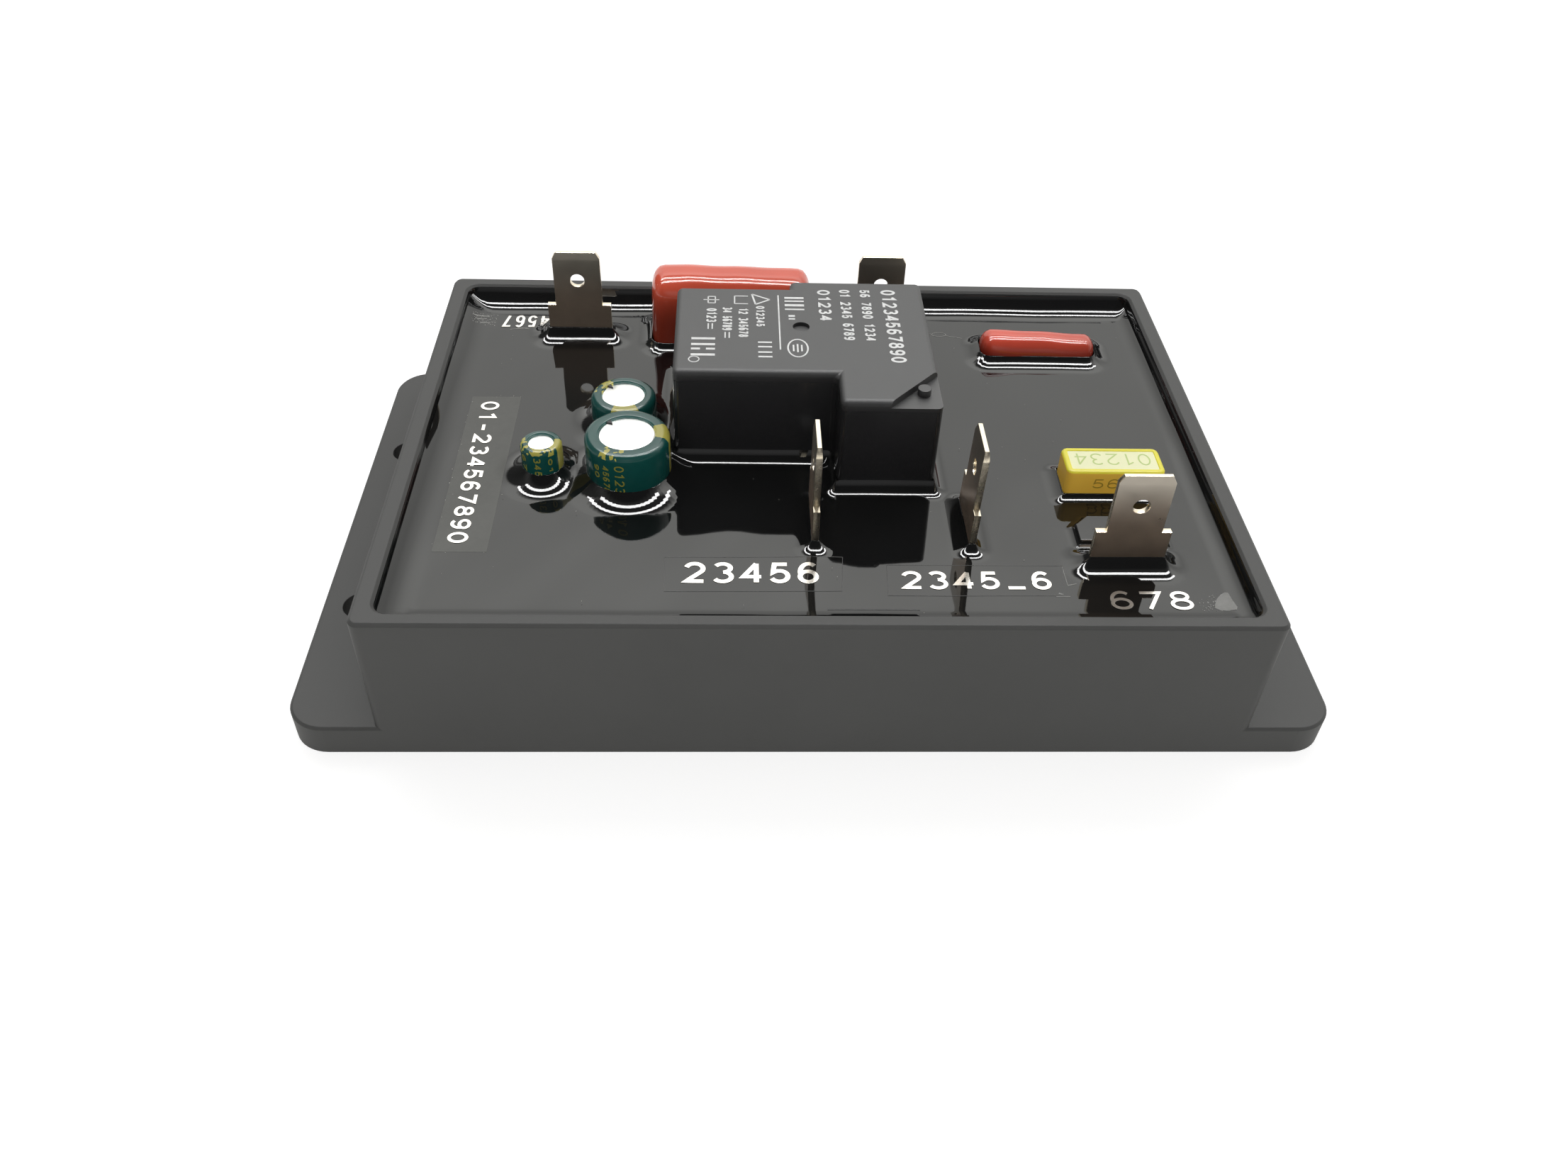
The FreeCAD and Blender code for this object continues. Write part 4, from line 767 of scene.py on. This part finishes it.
# Film capacitors: wound blocks dipped in red epoxy, which stand on two wires a little askew. The coat is thick
# and glossy, flat where it ran off the faces, round on every edge, and not quite even.
def dipped(name, x, y, foot, top, long, thick, tilt, round_off, colour, swell=0.12, side_swell=0.25):
    """A dipped block: a box with large round edges, swollen a little, tilted about its foot, with painted shade
    low down.
    """
    made = surface(name + "_epoxy", colour, 0.13, cloud=220.0, drift=0.1, grain=260.0, depth=0.03,
                   gloss_drift=0.03, ior=1.52)
    # Painted shade: the coat darkens to three tenths of its colour towards the resin, for the shade low down
    # between the parts.
    painted_shade_share = by_height(made.node_tree, resin_level * 0.65 + top * 0.35, top * 1.25 - resin_level * 0.25,
                          interpolation_type="SMOOTHSTEP")
    tinted(made, painted_shade_share, [c * 0.3 for c in colour], at_one=False)
    shape = bmesh.new()
    bmesh.ops.create_cube(shape, size=2.0)
    bmesh.ops.subdivide_edges(shape, edges=shape.edges, cuts=35, use_grid_fill=True)
    half = Vector((long / 2, thick / 2, (top - foot) / 2))
    lean = Matrix.Rotation(math.radians(tilt), 3, "Y")
    for spot in shape.verts:
        p = spot.co.copy()
        u = Vector([math.tan(c * math.pi / 4) for c in p])
        q = Vector([u[n] * half[n] for n in range(3)])
        core = Vector([max(-(half[n] - round_off[n]), min(half[n] - round_off[n], q[n])) for n in range(3)])
        off = q - core
        unit = Vector([off[n] / round_off[n] for n in range(3)])
        if unit.length > 1e-9:
            unit = unit.normalized() * max(abs(c) for c in unit)
            off = Vector([unit[n] * round_off[n] for n in range(3)])
        q = core + off
        grow = (1 - u.x ** 2) * (1 - u.z ** 2)
        q.y += math.copysign(side_swell * grow, u.y) * abs(u.y)
        q.z += swell * max(0.0, u.z) * (1 - u.x ** 2) * (1 - u.y ** 2)
        q.z += 0.05 * math.sin(q.x * 0.9 + 0.5) * max(0.0, u.z)
        q.y += 0.05 * math.sin(q.x * 0.7 + q.z * 0.6) * abs(u.y)
        q.z += half.z
        q = lean @ q
        spot.co = Vector((x + q.x, y + q.y, foot + q.z)) * mm
    for face in shape.faces:
        face.smooth = True
    bmesh.ops.recalc_face_normals(shape, faces=shape.faces)
    return object_of(name + "_coat", shape, made)


def rounded_outline(x, y, to_x, to_y, radius, steps):
    """An outline with round corners, from the places of their centres either way."""
    return [(x + sx * to_x + radius * math.cos(math.radians(first + 90 / steps * n)),
             y + sy * to_y + radius * math.sin(math.radians(first + 90 / steps * n)))
            for sx, sy, first in ((1, -1, -90), (1, 1, 0), (-1, 1, 90), (-1, -1, 180)) for n in range(steps + 1)]


film_foot = 11.3
for size, x, y, top, long, thick, tilt, round_off, colour, corner, thick_at_resin, wetting in (
        ("large", -10.5, 25.3, 27.7, 21.6, 7.4, 1.2, (1.6, 3.2, 2.6), (0.92, 0.125, 0.065), 1.5, 7.6, (3.4, 1.0)),
        ("small", 32.1, 21.6, 20.75, 16.0, 4.6, 2.4, (1.5, 2.1, 2.0), (0.84, 0.10, 0.056), 1.2, 4.8, (4.0, 1.1))):
    coat = dipped(f"{size}_film", x, y, film_foot, top, long, thick, tilt, round_off, colour)
    fit(coat, "red_epoxy", f"{size}_film_capacitor")
    shift = math.sin(math.radians(tilt)) * (resin_level - film_foot)
    foot_outline = rounded_outline(x + shift, y, long / 2 - corner, thick_at_resin / 2 - corner, corner, 6)
    feet.append((foot_outline, wetting))


# Box capacitor: a film block sealed with epoxy in a small moulded yellow box, which stands on two wires. Its
# upper face is slightly sunk inside a rounded border. Its one yellow plastic is drawn in three colours: the upper
# face painted pale for glare, the rounded border a lighter lemon for painted light, and the sides a deeper amber.
# Its embossed figures are flat marks in painted shade.
yellow_plastic = surface("yellow_plastic", (1.0, 0.60, 0.075), 0.33, cloud=300.0, drift=0.06, grain=4200.0,
                         depth=0.004)
# Painted glare and light: the sunk upper face gets a paler yellow and the rounded border a lighter lemon than the
# amber sides.
painted_glare_yellow = surface("painted_glare_yellow", (0.95, 0.98, 0.60), 0.25, cloud=500.0, drift=0.05, grain=3800.0,
                      depth=0.006)
painted_lit_edge_yellow = surface("painted_lit_edge_yellow", (0.9, 0.82, 0.03), 0.42, cloud=500.0, drift=0.05, grain=3800.0, depth=0.005)
epoxy_fill = surface("epoxy_fill", (0.55, 0.40, 0.10), 0.4, cloud=900.0, drift=0.15)
finish("box_capacitor_fill", epoxy_fill)


box_x, box_y, box_half_long, box_half_thick, box_top, box_edge = 36.2, -8.15, 6.0, 2.5, 21.7, 0.4
levels = [(0.0, board_top)]
for n in range(6):
    at = math.radians(18 * n)
    levels.append((box_edge * (1 - math.cos(at)), box_top - box_edge * (1 - math.sin(at))))
levels += [(0.62, box_top), (0.7, box_top - 0.1)]
shape = bmesh.new()
rings = []
for inward, height in levels:
    corner = max(0.85 - inward, 0.2)
    outline = rounded_outline(box_x, box_y, box_half_long - inward - corner, box_half_thick - inward - corner,
                              corner, 6)
    rings.append([shape.verts.new((x * mm, y * mm, height * mm)) for x, y in outline])
for step, (lower, upper) in enumerate(zip(rings, rings[1:])):
    for face in banded(shape, lower, upper):
        face.material_index = 0 if step < 2 else 2
shape.faces.new(rings[0][::-1])
shape.faces.new(rings[-1]).material_index = 1
yellow_box = evened(object_of("yellow_box", shape, yellow_plastic, painted_glare_yellow, painted_lit_edge_yellow), 45.0)
fit(yellow_box, "yellow_plastic", "box_capacitor_case")
feet.append(([(box_x + sx * box_half_long, box_y + sy * box_half_thick)
              for sx, sy in ((-1, -1), (1, -1), (1, 1), (-1, 1))], (3.0, 0.7)))
# Painted shade: the embossed figures are drawn as flat marks in darker colours, green on the pale upper face and
# brown on the front.
painted_shade_on_emboss_top = surface("painted_shade_on_emboss_top", (0.55, 0.68, 0.22), 0.3, cloud=900.0, drift=0.1, grain=3800.0, depth=0.005)
painted_shade_on_emboss_front = surface("painted_shade_on_emboss_front", (0.42, 0.27, 0.03), 0.4, cloud=900.0, drift=0.1, grain=3800.0, depth=0.005)
top_numbers = lettered("yellow_numbers", "01234", (40.9, -6.75), (31.5, -6.75), 2.4, painted_shade_on_emboss_top,
                       box_top - 0.098, 0.2, 0.01)
fit(top_numbers, "yellow_plastic")
front_numbers = lettered("yellow_front_numbers", "567", (0.0, 0.0), (5.2, 0.0), 1.5, painted_shade_on_emboss_front, 0.0, 0.16,
                         0.012)
front_numbers.data.transform(Matrix.Translation(Vector((33.4, box_y - box_half_thick - 0.005, 19.2)) * mm)
                             @ Matrix.Rotation(math.radians(90), 4, "X"))
fit(front_numbers, "yellow_plastic")


# Fuse block: a low square fuse in a black moulded case on two wires. It stands barely a millimetre out of the
# resin, one corner bevelled, its lid as glossy as the resin round it.
fuse_plastic = surface("fuse_plastic", (0.012, 0.012, 0.0125), 0.07, cloud=300.0, drift=0.1, grain=500.0,
                       depth=0.006, gloss_drift=0.03)
fuse_top = 18.8
fuse_outline = [(30.4, -19.8), (40.6, -19.8), (40.6, -15.2), (32.0, -15.2), (30.4, -16.8)]
fuse_block = softened(object_of("fuse_block", raised(fuse_outline, board_top, fuse_top), fuse_plastic), 0.22, 3)
fit(fuse_block, "fuse_plastic", "fuse_cover")
feet.append((fuse_outline, (1.5, 0.5)))


# Potting resin: black polyurethane poured over the board to 2.6 mm below the rim and left to set. It wets the
# walls and every part, so it climbs all of them in a hollow curve, and its skin is as smooth as glass with a very
# slight wave. Higher up a thin film of it clings to the walls.
cavity_x, cavity_y, cavity_corner = 47.7, 33.8, 1.6
tail_high, tail_long = 0.05, 2.2
waves = ((0.020, 0.31, 0.22, 0.4), (0.012, -0.42, 0.36, 2.1), (0.005, 0.83, -0.61, 0.9))
wall_wetting = {"right": (3.0, 1.0), "left": (5.5, 1.6), "rear": (4.1, 2.1), "front": (5.0, 1.2)}


def climb(distance, wetting):
    """Height and slope of a hollow curve at a distance from what it wets, by its radius and its height there."""
    radius, high = wetting
    reach = np.maximum(math.sqrt(radius ** 2 - (radius - high) ** 2) - distance, 0.0)
    drop = np.sqrt(radius ** 2 - reach ** 2)
    tail = tail_high * np.exp(-distance / tail_long)
    return radius - drop + tail, -reach / drop - tail / tail_long


def nearest_on(outline, spots):
    """Distance from each spot to an outline, and the unit vector that leads away from it."""
    start = np.array(outline, float)
    run = np.roll(start, -1, axis=0) - start
    best = np.full(len(spots), 1e9)
    away = np.zeros((len(spots), 2))
    for corner, step in zip(start, run):
        off = spots - corner
        along = np.clip(off @ step / (step @ step), 0, 1)
        gap = off - along[:, None] * step
        length = np.hypot(gap[:, 0], gap[:, 1])
        closer = length < best
        best[closer] = length[closer]
        away[closer] = gap[closer] / np.maximum(length[closer], 1e-9)[:, None]
    return best, away


def within(outline, spots):
    """Which spots lie inside an outline."""
    inside = np.zeros(len(spots), bool)
    corners = np.array(outline, float)
    for one, two in zip(corners, np.roll(corners, -1, axis=0)):
        crosses = (one[1] > spots[:, 1]) != (two[1] > spots[:, 1])
        rise = two[1] - one[1]
        rise = rise if abs(rise) > 1e-12 else 1e-12
        inside ^= crosses & (spots[:, 0] < (two[0] - one[0]) * (spots[:, 1] - one[1]) / rise + one[0])
    return inside


def resin_skin(spots):
    """Height of the resin and its two slopes at each spot. Where curves meet, the higher one leads."""
    spots = np.array(spots, float)
    x, y = spots[:, 0], spots[:, 1]
    height, slope_x, slope_y = np.full(len(x), resin_level), np.zeros(len(x)), np.zeros(len(x))
    for deep, along, across, shift in waves:
        height = height + deep * np.sin(x * along + y * across + shift)
        slope_x = slope_x + deep * along * np.cos(x * along + y * across + shift)
        slope_y = slope_y + deep * across * np.cos(x * along + y * across + shift)
    climbs = []
    for wall, distance, off_x, off_y in (("right", cavity_x - x, -1, 0), ("left", cavity_x + x, 1, 0),
                                         ("rear", cavity_y - y, 0, -1), ("front", cavity_y + y, 0, 1)):
        rise, fall = climb(np.maximum(distance, 0.0), wall_wetting[wall])
        climbs.append((rise, fall * off_x, fall * off_y))
    for outline, wetting in feet:
        distance, away = nearest_on(outline, spots)
        rise, fall = climb(distance, wetting)
        climbs.append((rise, fall * away[:, 0], fall * away[:, 1]))
    joined = sum(rise ** 3 for rise, _, _ in climbs) ** (1 / 3)
    for rise, along_x, along_y in climbs:
        share = (rise / joined) ** 2
        slope_x = slope_x + share * along_x
        slope_y = slope_y + share * along_y
    return height + joined, slope_x, slope_y


def stepped(outline, step):
    """An outline with its sides divided into even short steps."""
    spots = []
    for one, two in zip(outline, outline[1:] + outline[:1]):
        count = max(1, math.ceil(math.hypot(two[0] - one[0], two[1] - one[1]) / step))
        spots += [(one[0] + (two[0] - one[0]) * n / count, one[1] + (two[1] - one[1]) * n / count)
                  for n in range(count)]
    return spots


def offset_spots(outline, distance, side):
    """Spots at a distance to one side of an outline, fanned round its corners."""
    spots = []
    count = len(outline)
    for n in range(count):
        before, here, after = (np.array(outline[(n + k) % count]) for k in (-1, 0, 1))
        first, second = here - before, after - here
        normals = [np.array((d[1], -d[0])) / max(np.hypot(*d), 1e-9) * side for d in (first, second)]
        turn = math.acos(max(-1.0, min(1.0, float(normals[0] @ normals[1]))))
        fan = max(1, math.ceil(turn / 0.3))
        for k in range(fan + 1) if turn > 0.02 else (0,):
            mixed = normals[0] * (1 - k / fan) + normals[1] * k / fan
            spots.append(tuple(here + mixed / max(np.hypot(*mixed), 1e-9) * distance))
    return spots


def cavity_ring(inward):
    """The cavity's outline at a distance inside its walls."""
    return rounded_outline(0, 0, cavity_x - cavity_corner, cavity_y - cavity_corner, cavity_corner - inward, 8)


wall_step, foot_step, grid_step, grid_begins = 0.9, 0.55, 1.5, 4.1
ring_distances = (0.07, 0.16, 0.27, 0.4, 0.55, 0.72, 0.92, 1.15, 1.4, 1.7, 2.0, 2.35, 2.75, 3.2, 3.7)
cavity_outline = cavity_ring(0.0)
edges_wetted = [(stepped(cavity_outline, wall_step), -1)]
edges_wetted += [(stepped(outline, foot_step), 1) for outline, _ in feet]
skin_spots, skin_edges = [], []
for outline, _ in edges_wetted:
    base = len(skin_spots)
    skin_spots += outline
    skin_edges += [(base + n, base + (n + 1) % len(outline)) for n in range(len(outline))]


def clear_of_others(spots, own, room):
    """Keeps the spots that stay off every outline and inside the cavity."""
    spots = np.array(spots)
    kept = within(cavity_outline, spots)
    for number, (outline, _) in enumerate(edges_wetted):
        distance, _ = nearest_on(outline, spots)
        kept &= distance > (room * 0.93 if number == own else max(0.05, min(room, 0.3)))
        if number:
            kept &= ~within(outline, spots)
    return [tuple(spot) for spot in spots[kept]]


inner_spots = []
for number, (outline, side) in enumerate(edges_wetted):
    for distance in ring_distances:
        inner_spots += clear_of_others(offset_spots(outline, distance, side), number, distance)
grid = np.array([(-46.5 + grid_step * i + 0.37 * (j % 2), -32.5 + grid_step * j)
                 for i in range(63) for j in range(44)])
far_enough = np.ones(len(grid), bool)
for number, (outline, _) in enumerate(edges_wetted):
    far_enough &= nearest_on(outline, grid)[0] > grid_begins
    if number:
        far_enough &= ~within(outline, grid)
inner_spots += [tuple(spot) for spot in grid[far_enough & within(cavity_outline, grid)]]
taken, unique_spots = set(), []
for spot in inner_spots:
    cell = (round(spot[0] / 0.05), round(spot[1] / 0.05))
    if cell not in taken:
        taken.add(cell)
        unique_spots.append(spot)


def skin_triangles(spots, edges):
    """Joins spots into triangles and keeps those that are resin, not a part or a wall."""
    found, _, triangles = delaunay_2d_cdt([Vector(s) for s in spots], edges, [], 0, 1e-5, False)[:3]
    centres = np.array([(found[a] + found[b] + found[c]) / 3 for a, b, c in triangles])
    kept = within(cavity_outline, centres)
    for outline, _ in feet:
        kept &= ~within(outline, centres)
    return found, [t for t, wanted in zip(triangles, kept) if wanted]


top_spots, top_faces = skin_triangles(skin_spots + unique_spots, skin_edges)
base_spots, base_faces = skin_triangles(skin_spots, skin_edges)
flat = np.array([tuple(s) for s in top_spots])
height, slope_x, slope_y = resin_skin(flat)
deep = board_top + 0.05
corners = [(x * mm, y * mm, z * mm) for (x, y), z in zip(flat, height)]
count = len(corners)
corners += [(s[0] * mm, s[1] * mm, deep * mm) for s in base_spots]
faces = list(top_faces) + [(count + c, count + b, count + a) for a, b, c in base_faces]
for a, b in skin_edges:
    faces.append((a, b, count + b, count + a))
resin_mesh = bpy.data.meshes.new("cast_resin")
resin_mesh.from_pydata(corners, [], faces)
resin_mesh.update()
shape = bmesh.new()
shape.from_mesh(resin_mesh)
bmesh.ops.recalc_face_normals(shape, faces=shape.faces)
shape.to_mesh(resin_mesh)
shape.free()
lean = np.stack([-slope_x, -slope_y, np.ones(count)], axis=1)
lean /= np.linalg.norm(lean, axis=1)[:, None]
corner_normals = []
for face in resin_mesh.polygons:
    face.use_smooth = True
    up = face.normal.z > 0.05 and all(v < count for v in face.vertices)
    for vertex in face.vertices:
        corner_normals.append(tuple(lean[vertex]) if up else tuple(face.normal))
resin_mesh.normals_split_custom_set(corner_normals)
potting = surface("potting_resin", (0.0085, 0.0088, 0.009), 0.035, cloud=120.0, drift=0.15, grain=180.0,
                  depth=0.002, gloss_drift=0.015)
resin_mesh.materials.append(potting)
cast_resin = bpy.data.objects.new("cast_resin", resin_mesh)
bpy.context.scene.collection.objects.link(cast_resin)
fit(cast_resin, "potting_resin", "potting_resin")


film_section = ((-0.02, 18.0), (0.3, 18.0), (0.24, 18.8), (0.1, 19.6), (0.04, 19.92), (-0.02, 19.98))
shape = bmesh.new()
rings = [[shape.verts.new((x * mm, y * mm, height * mm)) for x, y in cavity_ring(inward)]
         for inward, height in film_section]
for lower, upper in zip(rings, rings[1:] + rings[:1]):
    for face in banded(shape, lower, upper):
        face.smooth = True
bmesh.ops.recalc_face_normals(shape, faces=shape.faces)
wall_film = object_of("wall_film", shape, potting)
wall_film.data.set_sharp_from_angle(angle=math.radians(50))
fit(wall_film, "potting_resin")


# Label tapes: thin clear tape laid on the wet resin beside each tab and down the left side, where the resin
# holds it as it sets. Each carries a plain number in bright foil.
clear_tape = surface("clear_tape", (0.0085, 0.0088, 0.009), 0.035, cloud=120.0, drift=0.15, grain=180.0,
                     depth=0.002, gloss_drift=0.015)
tape_edge = surface("tape_edge", (0.02, 0.02, 0.02), 0.4, cloud=900.0, drift=0.2)
foil_print = surface("foil_print", (0.88, 0.85, 0.80), 0.16, cloud=1200.0, drift=0.05, grain=4000.0,
                     depth=0.002, metallic=0.85)


def on_quad(corners, u, v):
    """A point of a tape from its four corners, rear left, rear right, front right and front left."""
    rear = Vector(corners[0]).lerp(Vector(corners[1]), u)
    front = Vector(corners[3]).lerp(Vector(corners[2]), u)
    return rear.lerp(front, v)


def laid(name, corners, made, lift, thick=0.06, across=24, along=8):
    """A thin film that follows the resin between four corners."""
    us = [n / across for n in range(across + 1)]
    vs = [n / along for n in range(along + 1)]
    spots = [on_quad(corners, u, v) for v in vs for u in us]
    heights = resin_skin([tuple(s) for s in spots])[0]
    shape = bmesh.new()
    upper = [shape.verts.new((s.x * mm, s.y * mm, (h + lift) * mm)) for s, h in zip(spots, heights)]
    lower = [shape.verts.new((s.x * mm, s.y * mm, (h + lift - thick) * mm)) for s, h in zip(spots, heights)]
    wide = across + 1
    for j in range(along):
        for i in range(across):
            a, b, c, d = j * wide + i, j * wide + i + 1, (j + 1) * wide + i + 1, (j + 1) * wide + i
            shape.faces.new((upper[d], upper[c], upper[b], upper[a])).smooth = True
            shape.faces.new((lower[a], lower[b], lower[c], lower[d]))
    border = ([(i, i + 1) for i in range(across)]
              + [(j * wide + across, (j + 1) * wide + across) for j in range(along)]
              + [(along * wide + i + 1, along * wide + i) for i in reversed(range(across))]
              + [((j + 1) * wide, j * wide) for j in reversed(range(along))])
    for a, b in border:
        shape.faces.new((upper[a], upper[b], lower[b], lower[a]))
    bmesh.ops.recalc_face_normals(shape, faces=shape.faces)
    film = object_of(name, shape, made)
    film.data.set_sharp_from_angle(angle=math.radians(30))
    return film


def settled(piece, lift, longest=0.7):
    """Lets a flat piece drawn at height nought lie on the resin, its long edges divided so that it follows."""
    shape = bmesh.new()
    shape.from_mesh(piece.data)
    for _ in range(3):
        long_edges = [edge for edge in shape.edges if edge.calc_length() > longest * mm]
        bmesh.ops.subdivide_edges(shape, edges=long_edges, cuts=1)
    spots = list(shape.verts)
    heights = resin_skin([(v.co.x / mm, v.co.y / mm) for v in spots])[0]
    for spot, height in zip(spots, heights):
        spot.co.z += (float(height) + lift) * mm
    shape.to_mesh(piece.data)
    shape.free()
    return piece


def marked(name, outlines, made, thick=0.01):
    """Thin flat marks that lie on the resin."""
    fit(settled(shapes(name, outlines, 0.0, made, thick), 0.012), "potting_resin")


for name, corners in (("tape_front_left", [(-17.6, -22.0), (2.7, -21.8), (2.3, -27.5), (-17.4, -27.7)]),
                      ("tape_front_middle", [(7.64, -23.1), (27.9, -23.1), (27.0, -28.1), (7.4, -28.2)])):
    fit(laid(name, corners, clear_tape, 0.012), "potting_resin")
    corners = [Vector(corner) for corner in corners]
    border = [bar(*one, *two, 0.07) for one, two in zip(corners, corners[1:] + corners[:1])]
    marked(name + "_edge", border, tape_edge, 0.012)
frosted_tape = surface("frosted_tape", (0.042, 0.043, 0.037), 0.1, cloud=700.0, drift=0.25, grain=1500.0,
                       depth=0.003, gloss_drift=0.05)
left_tape = [(-37.6, 9.6), (-37.75, -21.3), (-43.9, -21.35), (-43.9, 9.5)]
fit(laid("tape_left", left_tape, frosted_tape, 0.014, across=40), "potting_resin")
for name, text, start, stop, tall, wide in (
        ("numbers_front_left", "23456", (-15.5, -26.45), (0.0, -26.45), 3.75, 0.56),
        ("numbers_front_middle", "2345_6", (9.0, -27.25), (26.2, -27.25), 3.2, 0.48),
        ("numbers_front_right", "678", (31.95, -30.4), (41.6, -30.4), 3.2, 0.42),
        ("numbers_rear_left", "4567", (-35.9, 29.9), (-42.5, 29.9), 3.3, 0.4),
        ("numbers_left", "01-234567890", (-42.6, 8.4), (-42.6, -19.9), 2.5, 0.4)):
    fit(settled(lettered(name, text, start, stop, tall, foil_print, 0.0, wide), 0.05), "potting_resin")


# Marks of handling: specks of dust on the resin and along the left tape, a frosted smear beside the right tab, a
# pale haze by the rear left number, bits of tape near the middle one, a ripple where the resin was touched,
# scratches on the fuse block and nicks in the sleeves. By the front wall a thin dark line on the resin is a
# painted reflection.
def specks_tree():
    """Flat flakes scattered over a surface: spots by density and seed, each flake of its own size."""
    tree = bpy.data.node_groups.new("specks", "GeometryNodeTree")
    tree.interface.new_socket("Surface", in_out="INPUT", socket_type="NodeSocketGeometry")
    for name, kind, size in (("Density", "NodeSocketFloat", 1000.0), ("Seed", "NodeSocketInt", 1),
                             ("Size", "NodeSocketFloat", 0.05 * mm)):
        tree.interface.new_socket(name, in_out="INPUT", socket_type=kind).default_value = size
    tree.interface.new_socket("Dust", in_out="INPUT", socket_type="NodeSocketMaterial")
    tree.interface.new_socket("Flakes", in_out="OUTPUT", socket_type="NodeSocketGeometry")
    given = node_in(tree, "NodeGroupInput")
    spots = node_in(tree, "GeometryNodeDistributePointsOnFaces")
    flake = node_in(tree, "GeometryNodeMeshIcoSphere", Subdivisions=1)
    stamp = node_in(tree, "GeometryNodeInstanceOnPoints")
    sizes = node_in(tree, "FunctionNodeRandomValue", data_type="FLOAT_VECTOR")
    sizes.inputs[0].default_value = (0.4, 0.4, 0.3)
    sizes.inputs[1].default_value = (1.5, 1.2, 0.5)
    real = node_in(tree, "GeometryNodeRealizeInstances")
    dusted = node_in(tree, "GeometryNodeSetMaterial")
    end = node_in(tree, "NodeGroupOutput")
    join(tree, (given, "Surface"), (spots, "Mesh"), (given, "Density"), (spots, "Density"),
         (given, "Seed"), (spots, "Seed"), (spots, "Points"), (stamp, "Points"),
         (given, "Size"), (flake, "Radius"), (flake, 0), (stamp, "Instance"),
         (spots, "Rotation"), (stamp, "Rotation"), (given, "Seed"), (sizes, "Seed"), (sizes, 0), (stamp, "Scale"),
         (stamp, 0), (real, 0), (real, 0), (dusted, 0), (given, "Dust"), (dusted, "Material"),
         (dusted, 0), (end, 0))
    return tree


specks = specks_tree()
dust = surface("dust", (0.55, 0.54, 0.50), 0.8, cloud=2000.0, drift=0.2, grain=8000.0, depth=0.002)
frost = surface("frost", (0.19, 0.19, 0.18), 0.5, cloud=1500.0, drift=0.3, grain=3000.0, depth=0.004)
pale_frost = surface("pale_frost", (0.36, 0.36, 0.34), 0.6, cloud=1500.0, drift=0.4, grain=3000.0, depth=0.004)
dark_line = surface("dark_line", (0.004, 0.004, 0.004), 0.6, cloud=900.0, drift=0.2)


def scattered(name, outline, density, size, seed, made):
    """Flakes over an outline on the resin, by their number for each square metre and their size."""
    shape = bmesh.new()
    shape.faces.new([shape.verts.new((x * mm, y * mm, 0)) for x, y in outline])
    bmesh.ops.triangulate(shape, faces=shape.faces)
    carrier = settled(object_of(name, shape), 0.0)
    spread = carrier.modifiers.new("specks", "NODES")
    spread.node_group = specks
    wanted = {"Density": density, "Seed": seed, "Size": size * mm, "Dust": made}
    for socket in specks.interface.items_tree:
        if socket.in_out == "INPUT" and socket.name in wanted:
            spread[socket.identifier] = wanted[socket.name]
    carrier.update_tag()
    fit(as_mesh(carrier), "potting_resin")


for name, outline, density, size, seed, made in (
        ("dust_on_resin", [(-46, -32), (46, -32), (46, 32), (-46, 32)], 9500.0, 0.045, 11, dust),
        ("smear_flakes", [(41.9, -28.9), (44.4, -27.7), (44.4, -30.4), (42.2, -30.4)], 6.0e6, 0.11, 5, frost),
        ("tape_dust", [(-44.1, -21.6), (-43.7, -21.6), (-43.7, 9.8), (-44.1, 9.8)], 7.0e5, 0.06, 7, dust),
        ("tape_end_dust", [(-43.9, -21.6), (-37.6, -21.6), (-37.6, -21.2), (-43.9, -21.2)], 1.6e6, 0.06, 9, dust),
        ("tape_top_dust", [(-42.5, 9.4), (-37.6, 9.4), (-37.6, 9.9), (-42.5, 9.9)], 2.2e6, 0.06, 4, dust),
        ("label_haze", [(-46.7, 27.2), (-43.3, 26.9), (-43.4, 30.2), (-46.9, 29.6)], 9.0e6, 0.07, 13, pale_frost)):
    scattered(name, outline, density, size, seed, made)
marked("smear", [[(44.3, -28.5), (44.9, -27.8), (45.5, -27.4), (45.85, -27.5), (45.95, -28.4), (46.2, -29.9),
                  (46.05, -30.3), (45.2, -30.45), (44.2, -30.35), (43.7, -29.95), (43.95, -29.2)]], frost)
marked("label_streaks", bars((-46.6, 28.8, -44.5, 29.5, 0.16), (-46.3, 28.1, -44.9, 28.7, 0.1),
                             (-45.6, 27.5, -44.2, 27.9, 0.12), (-41.2, 26.2, -37.2, 26.8, 0.07),
                             (-40.2, 26.7, -38.6, 26.3, 0.06)), pale_frost)
marked("tape_bits", bars((26.2, -28.25, 27.8, -28.2, 0.12), (27.8, -23.3, 27.85, -26.4, 0.08),
                         (27.85, -26.4, 28.9, -26.1, 0.15), (26.6, -27.7, 27.1, -27.9, 0.2)), frost)
# Painted reflection: a thin dark line laid on the resin along the front wall.
marked("painted_front_reflection", bars((0.5, -30.5, 10.7, -30.5, 0.22)), dark_line)
marked("ripple", hoop(19.4, 26.3, 0.5, 0.1, 18, squash=2.0)
       + bars((20.4, 26.0, 22.6, 25.3, 0.1), (18.4, 26.4, 17.2, 26.9, 0.08)), frost)
scratches = bars((32.2, -17.8, 33.8, -17.5, 0.16), (33.0, -18.2, 33.3, -17.2, 0.1))
fit(shapes("fuse_marks", scratches, fuse_top, dark_line, 0.012), "fuse_plastic")
for size, x, y, _, top, disc, *_ in cans[:2]:
    nick = [(x + reach * math.cos(math.radians(angle)), y + reach * math.sin(math.radians(angle)))
            for reach, angle in ((disc - 0.75, 134), (disc + 0.25, 127), (disc + 0.25, 142))]
    fit(shapes(size + "_sleeve_nick", [nick], top - 0.14, dark_line, 0.05), "green_sleeve")
